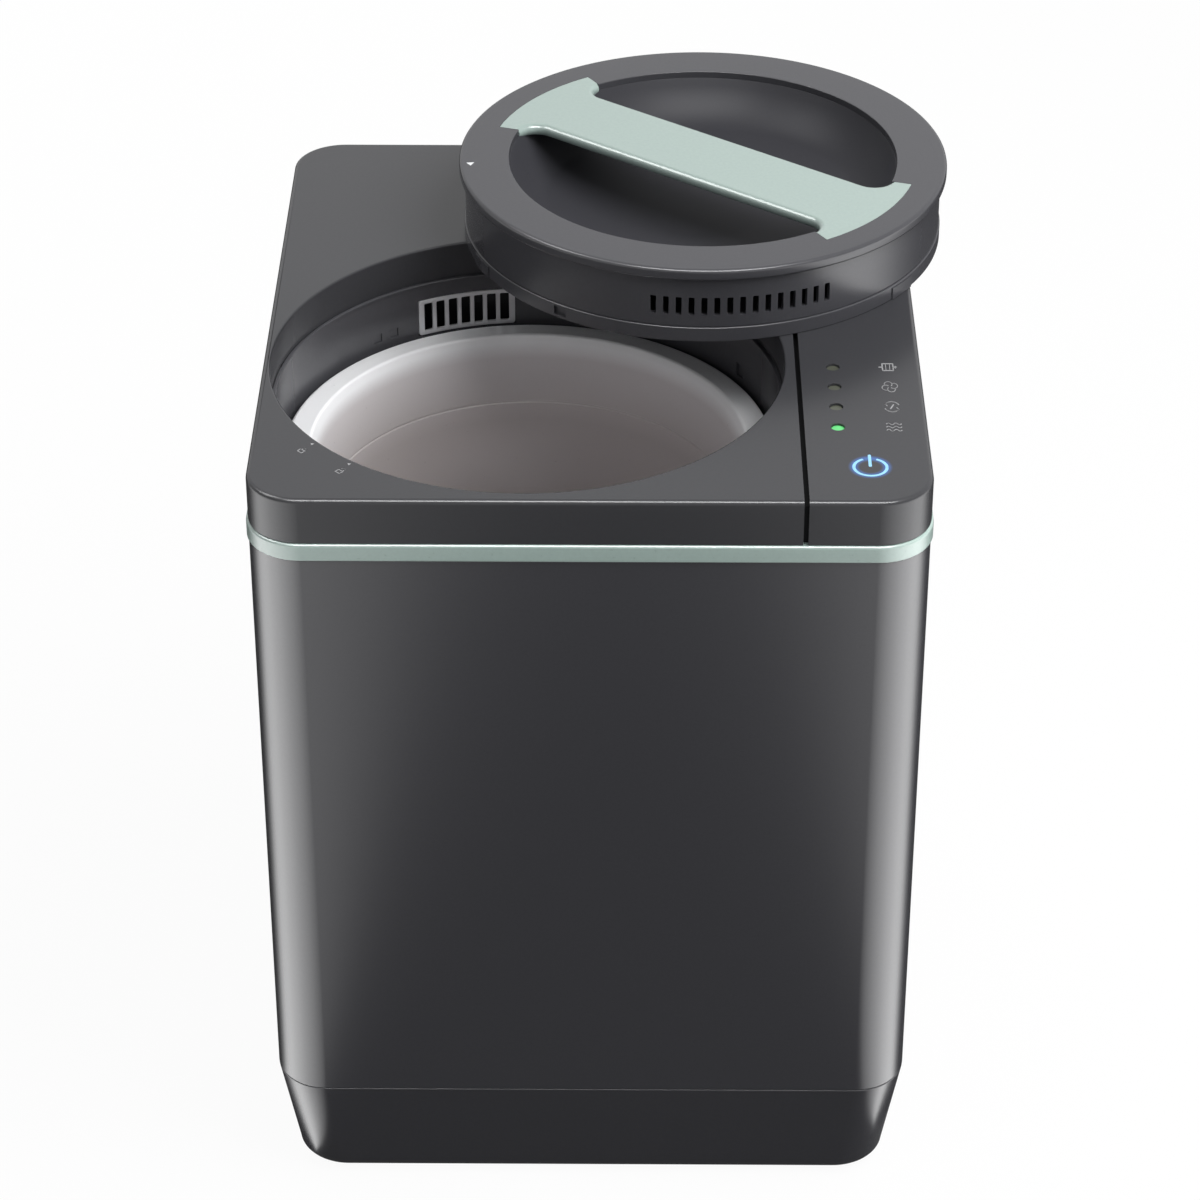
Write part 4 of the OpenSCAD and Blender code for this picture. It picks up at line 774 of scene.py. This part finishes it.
def handleOutline():  # the bar, its filled corners and the ends, from arcs round the bowl and the corners
    reach, half, soft = bowl["radius"] - handle["gap"], handle["width"] / 2, handle["corner"]
    endAngle = math.radians(handle["endHalf"])
    fill = Vector((math.sqrt((reach - soft) ** 2 - (half + soft) ** 2), half + soft))
    side = Vector((math.cos(endAngle), math.sin(endAngle)))
    meets = side * (fill.dot(side) + math.sqrt(soft ** 2 - fill.cross(side) ** 2)) - fill
    start = math.degrees(math.atan2(meets.y, meets.x))
    quarter = arcPoints(0, 0, handle["endRadius"], 0, handle["endHalf"], 12)
    quarter += arcPoints(fill.x, fill.y, soft, start, -90, 14)
    right = quarter + [(-x, y) for x, y in reversed(quarter)]
    return right[:-1] + [(x, -y) for x, y in reversed(right)][:-1]


def makeHandle():
    top, thick, reach = lid["high"], handle["thick"], bowl["radius"] - handle["gap"]
    bm = bmesh.new()
    face = bm.faces.new([bm.verts.new((x, y, top)) for x, y in handleOutline()])
    grown = bmesh.ops.extrude_face_region(bm, geom=[face], use_keep_orig=True)["geom"]
    bmesh.ops.translate(bm, vec=(0, 0, -thick), verts=[v for v in grown if isinstance(v, bmesh.types.BMVert)])
    bmesh.ops.recalc_face_normals(bm, faces=bm.faces)

    def alongBar(a, b):
        return level(a, b) and inside(reach)(a, b) and abs(a.y + b.y) > handle["width"] - 0.1

    softEdges(bm, handle["lip"], handle["lipSteps"], alongBar)
    low, high, past = top - thick - 1, top - lid["topThick"], reach + 15  # the ends are only as thick as the lid's top
    form = cut(bm, turned([(reach, low), (past, low), (past, high), (reach, high)], lid["steps"]))
    onEnds = outside(reach + 1)
    softEdges(form, handle["edge"], 2, lambda a, b: above(top)(a, b) and onEnds(a, b))
    # the handle takes a darker copy of the mint: painted shade
    finishPiece(moved(form, turn=handle["turn"]), "lidHandle", "lid", "mint", atLid, ["lid_handle"],
                finishes["mint_handle"])


makeLidShell()
makeLidCollar()
makeBowl()
makeHandle()
print("lid made")


printed = {"thick": 0.05, "line": 0.5, "grey": ((0.34, 0.34, 0.35), (0.40, 0.40, 0.41)), "greyRoughness": 0.45,
           "white": ((0.74, 0.75, 0.77), (0.8, 0.81, 0.83)), "whiteRoughness": 0.5, "iconX": 121.4, "iconTall": 1.3,
           "locks": ((-113.9, -117.3), (-97.9, -132.9)), "lockTurn": -45,
           "lockPointers": ((-110.3, -112.3), (-94.7, -127.6)),
           "pointer": 0.9, "pointerTurn": 45, "lidPointer": 2.0, "lidPointerAt": 100.5, "lidPointerTurn": 185}
icon = {"box": 2.2, "bars": 0.8, "barLine": 0.25, "flow": (3.6, 3.7), "head": 0.7, "headLine": 0.3, "blade": 1.6,
        "bladeOut": 1.7, "bladeTurns": (20, 110, 200, 290), "bladeLine": 0.35, "mix": 3.1, "mixHead": 1.3,
        "mixBar": (0.7, 1.3), "waves": 1.9, "waveHigh": 0.55, "waveHalf": 3, "waveStep": 0.5, "waveLine": 0.36}
padlock = {"half": 1.2, "low": -1.5, "high": 0.4, "shackle": 0.75, "legs": 1.1, "lift": 0.4, "line": 0.35}


def markFinish(name, shades, roughness):
    material, nodes, links, shader = startFinish(name)
    noise = patternNoise(nodes, links, patterns["print"]["cloud"])
    links.new(ramp(nodes, links, noise, [(0.3, shades[0]), (0.7, shades[1])]), shader.inputs["Base Color"])
    shader.inputs["Roughness"].default_value = roughness
    return material


def stroke(target, points, width=printed["line"]):  # a thin flat line through the points
    for a, b in zip(points, points[1:]):
        a, b = Vector(a), Vector(b)
        toNext = b - a
        bar = block(-width * 0.3, toNext.length + width * 0.3, -width / 2, width / 2, 0, printed["thick"])
        addShape(target, moved(bar, a.x, a.y, math.degrees(math.atan2(toNext.y, toNext.x))))


def iconBox(target):  # a filter element with flow through it
    half, bars, head = icon["box"], icon["bars"], icon["head"]
    before, after = icon["flow"]
    stroke(target, [(-half, -half), (half, -half), (half, half), (-half, half), (-half, -half)])
    for x in (-bars, bars):
        stroke(target, [(x, -half), (x, half)], icon["barLine"])
    stroke(target, [(-before, 0), (-half, 0)])
    stroke(target, [(half, 0), (after, 0)])
    stroke(target, [(after - head, head), (after, 0), (after - head, -head)], icon["headLine"])


def iconFan(target):
    for turn in icon["bladeTurns"]:
        x, y = arcPoints(0, 0, icon["bladeOut"], turn, turn, 1)[0]
        stroke(target, arcPoints(x, y, icon["blade"], turn - 150, turn + 100), icon["bladeLine"])


def iconMix(target):
    for turn in (0, 180):
        arc = arcPoints(0, 0, icon["mix"], turn + 25, turn + 150)
        stroke(target, arc)
        x, y = arc[-1]
        lean, barb = math.radians(turn + 200), icon["mixHead"]
        ends = [(x + barb * math.cos(lean + aside), y + barb * math.sin(lean + aside)) for aside in (1.9, 3.6)]
        stroke(target, [ends[0], (x, y), ends[1]], icon["headLine"])
    x, y = icon["mixBar"]
    stroke(target, [(-x, -y), (x, y)])


def iconWaves(target):
    count = round(2 * icon["waveHalf"] / icon["waveStep"]) + 1
    for row in (-icon["waves"], 0, icon["waves"]):
        stroke(target, [(i * icon["waveStep"] - icon["waveHalf"], row + icon["waveHigh"] * math.sin(i * math.pi / 3))
                        for i in range(count)], icon["waveLine"])


def addPadlock(target, x, y, opened):
    p, part = padlock, bmesh.new()
    half, shackle, legs = p["half"], p["shackle"], p["legs"] + p["lift"] * opened
    stroke(part, [(-half, p["low"]), (half, p["low"]), (half, p["high"]), (-half, p["high"]), (-half, p["low"])],
           p["line"])
    bow = [(shackle, p["high"]), (shackle, legs)] + arcPoints(0, legs, shackle, 0, 180, 8)
    if not opened:
        bow.append((-shackle, p["high"]))
    stroke(part, bow, p["line"])
    addShape(target, moved(part, x, y, printed["lockTurn"]))


def addPointer(target, x, y, turn, size):
    part = bmesh.new()
    bmesh.ops.create_cone(part, cap_ends=True, segments=3, radius1=size, radius2=size, depth=printed["thick"])
    bmesh.ops.translate(part, vec=(0, 0, printed["thick"] / 2), verts=part.verts)
    addShape(target, moved(part, x, y, turn))


def makeDeckPrints():
    marks = bmesh.new()
    for i, draw in enumerate((iconBox, iconFan, iconMix, iconWaves)):
        sign = bmesh.new()
        draw(sign)
        bmesh.ops.scale(sign, vec=(1, printed["iconTall"], 1), verts=sign.verts)
        addShape(marks, moved(sign, printed["iconX"], lampRow["y"] - i * lampRow["pitch"]))
    for opened, (x, y) in enumerate(printed["locks"]):
        addPadlock(marks, x, y, opened)
    for x, y in printed["lockPointers"]:
        addPointer(marks, x, y, printed["pointerTurn"], printed["pointer"])
    bmesh.ops.translate(marks, vec=(0, 0, deck["top"]), verts=marks.verts)
    finishPiece(marks, "printedMarks", "machine", "graphite_body", atBody,
                material=markFinish("printedMark", printed["grey"], printed["greyRoughness"]))


def makeLidPointer():
    arrow, turn = bmesh.new(), printed["lidPointerTurn"]
    x, y = arcPoints(0, 0, printed["lidPointerAt"], turn, turn, 1)[0]
    addPointer(arrow, x, y, turn, printed["lidPointer"])
    bmesh.ops.translate(arrow, vec=(0, 0, lid["high"] - printed["thick"] + tiny), verts=arrow.verts)
    finishPiece(arrow, "lidPointer", "lid", "graphite_lid", atLid,
                material=markFinish("whiteMark", printed["white"], printed["whiteRoughness"]))


makeDeckPrints()
makeLidPointer()
print("marks made")


# CAD nodes that are copied with softened edges, and how much they are softened
softened = {"filter_frame": 0.5, "filter_case_left": 0.6, "filter_case_right": 0.6, "power_inlet": 0.7,
            "rubber_feet": 0.8}
flatAngle = 0.6  # faces that turn less than this, in degrees, are one face
slots = {part["node"]: part["material_slot"] for part in frame["record"]["subparts"]}


def softCopy(node, width):
    source = frame["nodes"][node]
    bm = bmesh.new()
    bm.from_mesh(source.data)
    bmesh.ops.scale(bm, vec=(1 / mm,) * 3, verts=bm.verts)
    bmesh.ops.remove_doubles(bm, verts=bm.verts, dist=tiny)
    bmesh.ops.dissolve_limit(bm, angle_limit=math.radians(flatAngle), verts=bm.verts, edges=bm.edges)
    first, *words = node.split("_")
    name = first + "".join(word.capitalize() for word in words)
    finishPiece(softEdges(bm, width), name, source["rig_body"], slots[node], replaced=[node])


for node, width in softened.items():
    softCopy(node, width)

replacedNodes = {n for o in bpy.data.objects for n in o.get("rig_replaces", [])}
for node, slotName in slots.items():
    if node not in replacedNodes:
        materials = frame["nodes"][node].data.materials
        materials.clear()
        materials.append(finishes[slotName])
print("inner pieces finished:", len(frame["nodes"]) - len(replacedNodes))


studio = {"lens": 116.46, "sensor": 36, "camera": (0.00505, -1.44835, 1.1378), "tilt": 56.958, "turn": 0.406,
          "worldLight": 0.30, "floorSize": 12, "floorShare": 0.95, "floorSeen": 0.85, "floorBounce": 0.25,
          "floorRoughness": 0.9, "floorShine": 0.1, "boards": 5.0, "boardTurn": 0.1,
          "boardShades": ((0.0, 0.03), (0.07, 0.04), (0.11, 0.28), (0.24, 0.62), (0.42, 0.95), (0.56, 1.0),
                          (0.65, 0.8), (0.77, 0.12), (0.85, 0.01))}
lights = {  # place, aim, size, power, and whether it is in diffuse light and in reflections
    "softTop": ((0.85, -0.35, 1.5), (0, 0, 0.3), (1.3, 1.3), 29.5, True, False),
    "softLeft": ((-1.05, -0.75, 0.45), (0, 0, 0.2), (0.8, 0.8), 1.0, True, False),
    "softRight": ((1.05, -0.75, 0.45), (0, 0, 0.2), (0.8, 0.8), 1.0, True, False),
    "softBack": ((-0.5, 1.4, 0.9), (0, 0, 0.2), (1.2, 1.0), 8.0, True, False),
    "cardEdge": ((0.05, -0.8, 1.65), (0, 0, 0.35), (1.4, 0.5), 52.0, False, True),
    "cardLip": ((-0.86, -0.02, 1.34), (0, 0, 0.38), (0.6, 0.6), 12.0, False, True),
}


def onlySeen(nodes, links, *rays):  # 1 for these rays, 0 for the rest
    path = nodes.new("ShaderNodeLightPath")
    total = path.outputs[rays[0]]
    for ray in rays[1:]:
        total = calculate(nodes, links, "MAXIMUM", total, path.outputs[ray])
    return total


def greyRamp(nodes, links, source, stops):
    return ramp(nodes, links, source, [(place, (grey,) * 3) for place, grey in stops])


def mixed(nodes, links, share, first, second):
    blend = nodes.new("ShaderNodeMixShader")
    for socket, value in zip(blend.inputs, (share, first, second)):
        links.new(value, socket)
    return blend.outputs["Shader"]


def boardPattern(nodes, links):  # pale boards on the floor beside the front corners, seen in reflections only
    axes = objectAxes(nodes, links)
    halfWidth, halfDepth = shell["width"] / 2 * mm, shell["depth"] / 2 * mm
    aside = calculate(nodes, links, "SUBTRACT", calculate(nodes, links, "ABSOLUTE", axes["X"]), halfWidth)
    ahead = calculate(nodes, links, "SUBTRACT", -halfDepth, axes["Y"])
    turn = calculate(nodes, links, "ARCTAN2", aside, ahead)
    turn = calculate(nodes, links, "DIVIDE", turn, math.pi)
    turn = calculate(nodes, links, "ADD", turn, studio["boardTurn"])
    return greyRamp(nodes, links, turn, studio["boardShades"])


def makeWorld():  # white where it is seen, dimmer as a light
    world = bpy.data.worlds.new("studio")
    scene.world = world
    world.use_nodes = True
    nodes, links = world.node_tree.nodes, world.node_tree.links
    seen = onlySeen(nodes, links, "Is Camera Ray", "Is Glossy Ray", "Is Transmission Ray")
    links.new(greyRamp(nodes, links, seen, [(0.0, studio["worldLight"]), (1.0, 1)]),
              nodes["Background"].inputs["Color"])


def floorFinish():  # nearly white to the camera with the soft shadow on it, boards in reflections
    material, nodes, links, shader = startFinish("paleFloor")
    seen = onlySeen(nodes, links, "Is Camera Ray")
    links.new(greyRamp(nodes, links, seen, [(0.0, studio["floorBounce"]), (1.0, studio["floorSeen"])]),
              shader.inputs["Base Color"])
    shader.inputs["Roughness"].default_value = studio["floorRoughness"]
    shader.inputs["Specular IOR Level"].default_value = studio["floorShine"]
    white, boards = nodes.new("ShaderNodeEmission"), nodes.new("ShaderNodeEmission")
    white.inputs["Color"].default_value = (1, 1, 1, 1)
    boards.inputs["Strength"].default_value = studio["boards"]
    links.new(boardPattern(nodes, links), boards.inputs["Color"])
    whiteShare = calculate(nodes, links, "MULTIPLY", seen, studio["floorShare"])
    pale = mixed(nodes, links, whiteShare, shader.outputs["BSDF"], white.outputs["Emission"])
    mirrored = onlySeen(nodes, links, "Is Glossy Ray")
    links.new(mixed(nodes, links, mirrored, pale, boards.outputs["Emission"]),
              nodes["Material Output"].inputs["Surface"])
    return material


def makeFloor():
    bm = bmesh.new()
    bmesh.ops.create_grid(bm, x_segments=1, y_segments=1, size=studio["floorSize"] / 2)
    mesh = bpy.data.meshes.new("floor")
    bm.to_mesh(mesh)
    bm.free()
    floor = bpy.data.objects.new("floor", mesh)
    scene.collection.objects.link(floor)
    mesh.materials.append(floorFinish())


def makeLight(name, spot, aim, size, power, inDiffuse, inGlossy):
    light = bpy.data.lights.new(name, "AREA")
    light.shape, light.energy = "RECTANGLE", power
    light.size, light.size_y = size
    item = bpy.data.objects.new(name, light)
    scene.collection.objects.link(item)
    item.visible_camera, item.visible_diffuse, item.visible_glossy = False, inDiffuse, inGlossy
    item.location = spot
    item.rotation_euler = (Vector(aim) - Vector(spot)).to_track_quat("-Z", "Y").to_euler()


def makeCamera():
    camera = bpy.data.cameras.new("view")
    camera.lens, camera.sensor_width = studio["lens"], studio["sensor"]
    item = bpy.data.objects.new("view", camera)
    scene.collection.objects.link(item)
    item.location = studio["camera"]
    item.rotation_euler = (math.radians(studio["tilt"]), 0, math.radians(studio["turn"]))
    scene.camera = item
    scene.view_settings.view_transform = "Standard"


makeWorld()
makeFloor()
for name, values in lights.items():
    makeLight(name, *values)
makeCamera()
print("studio made")
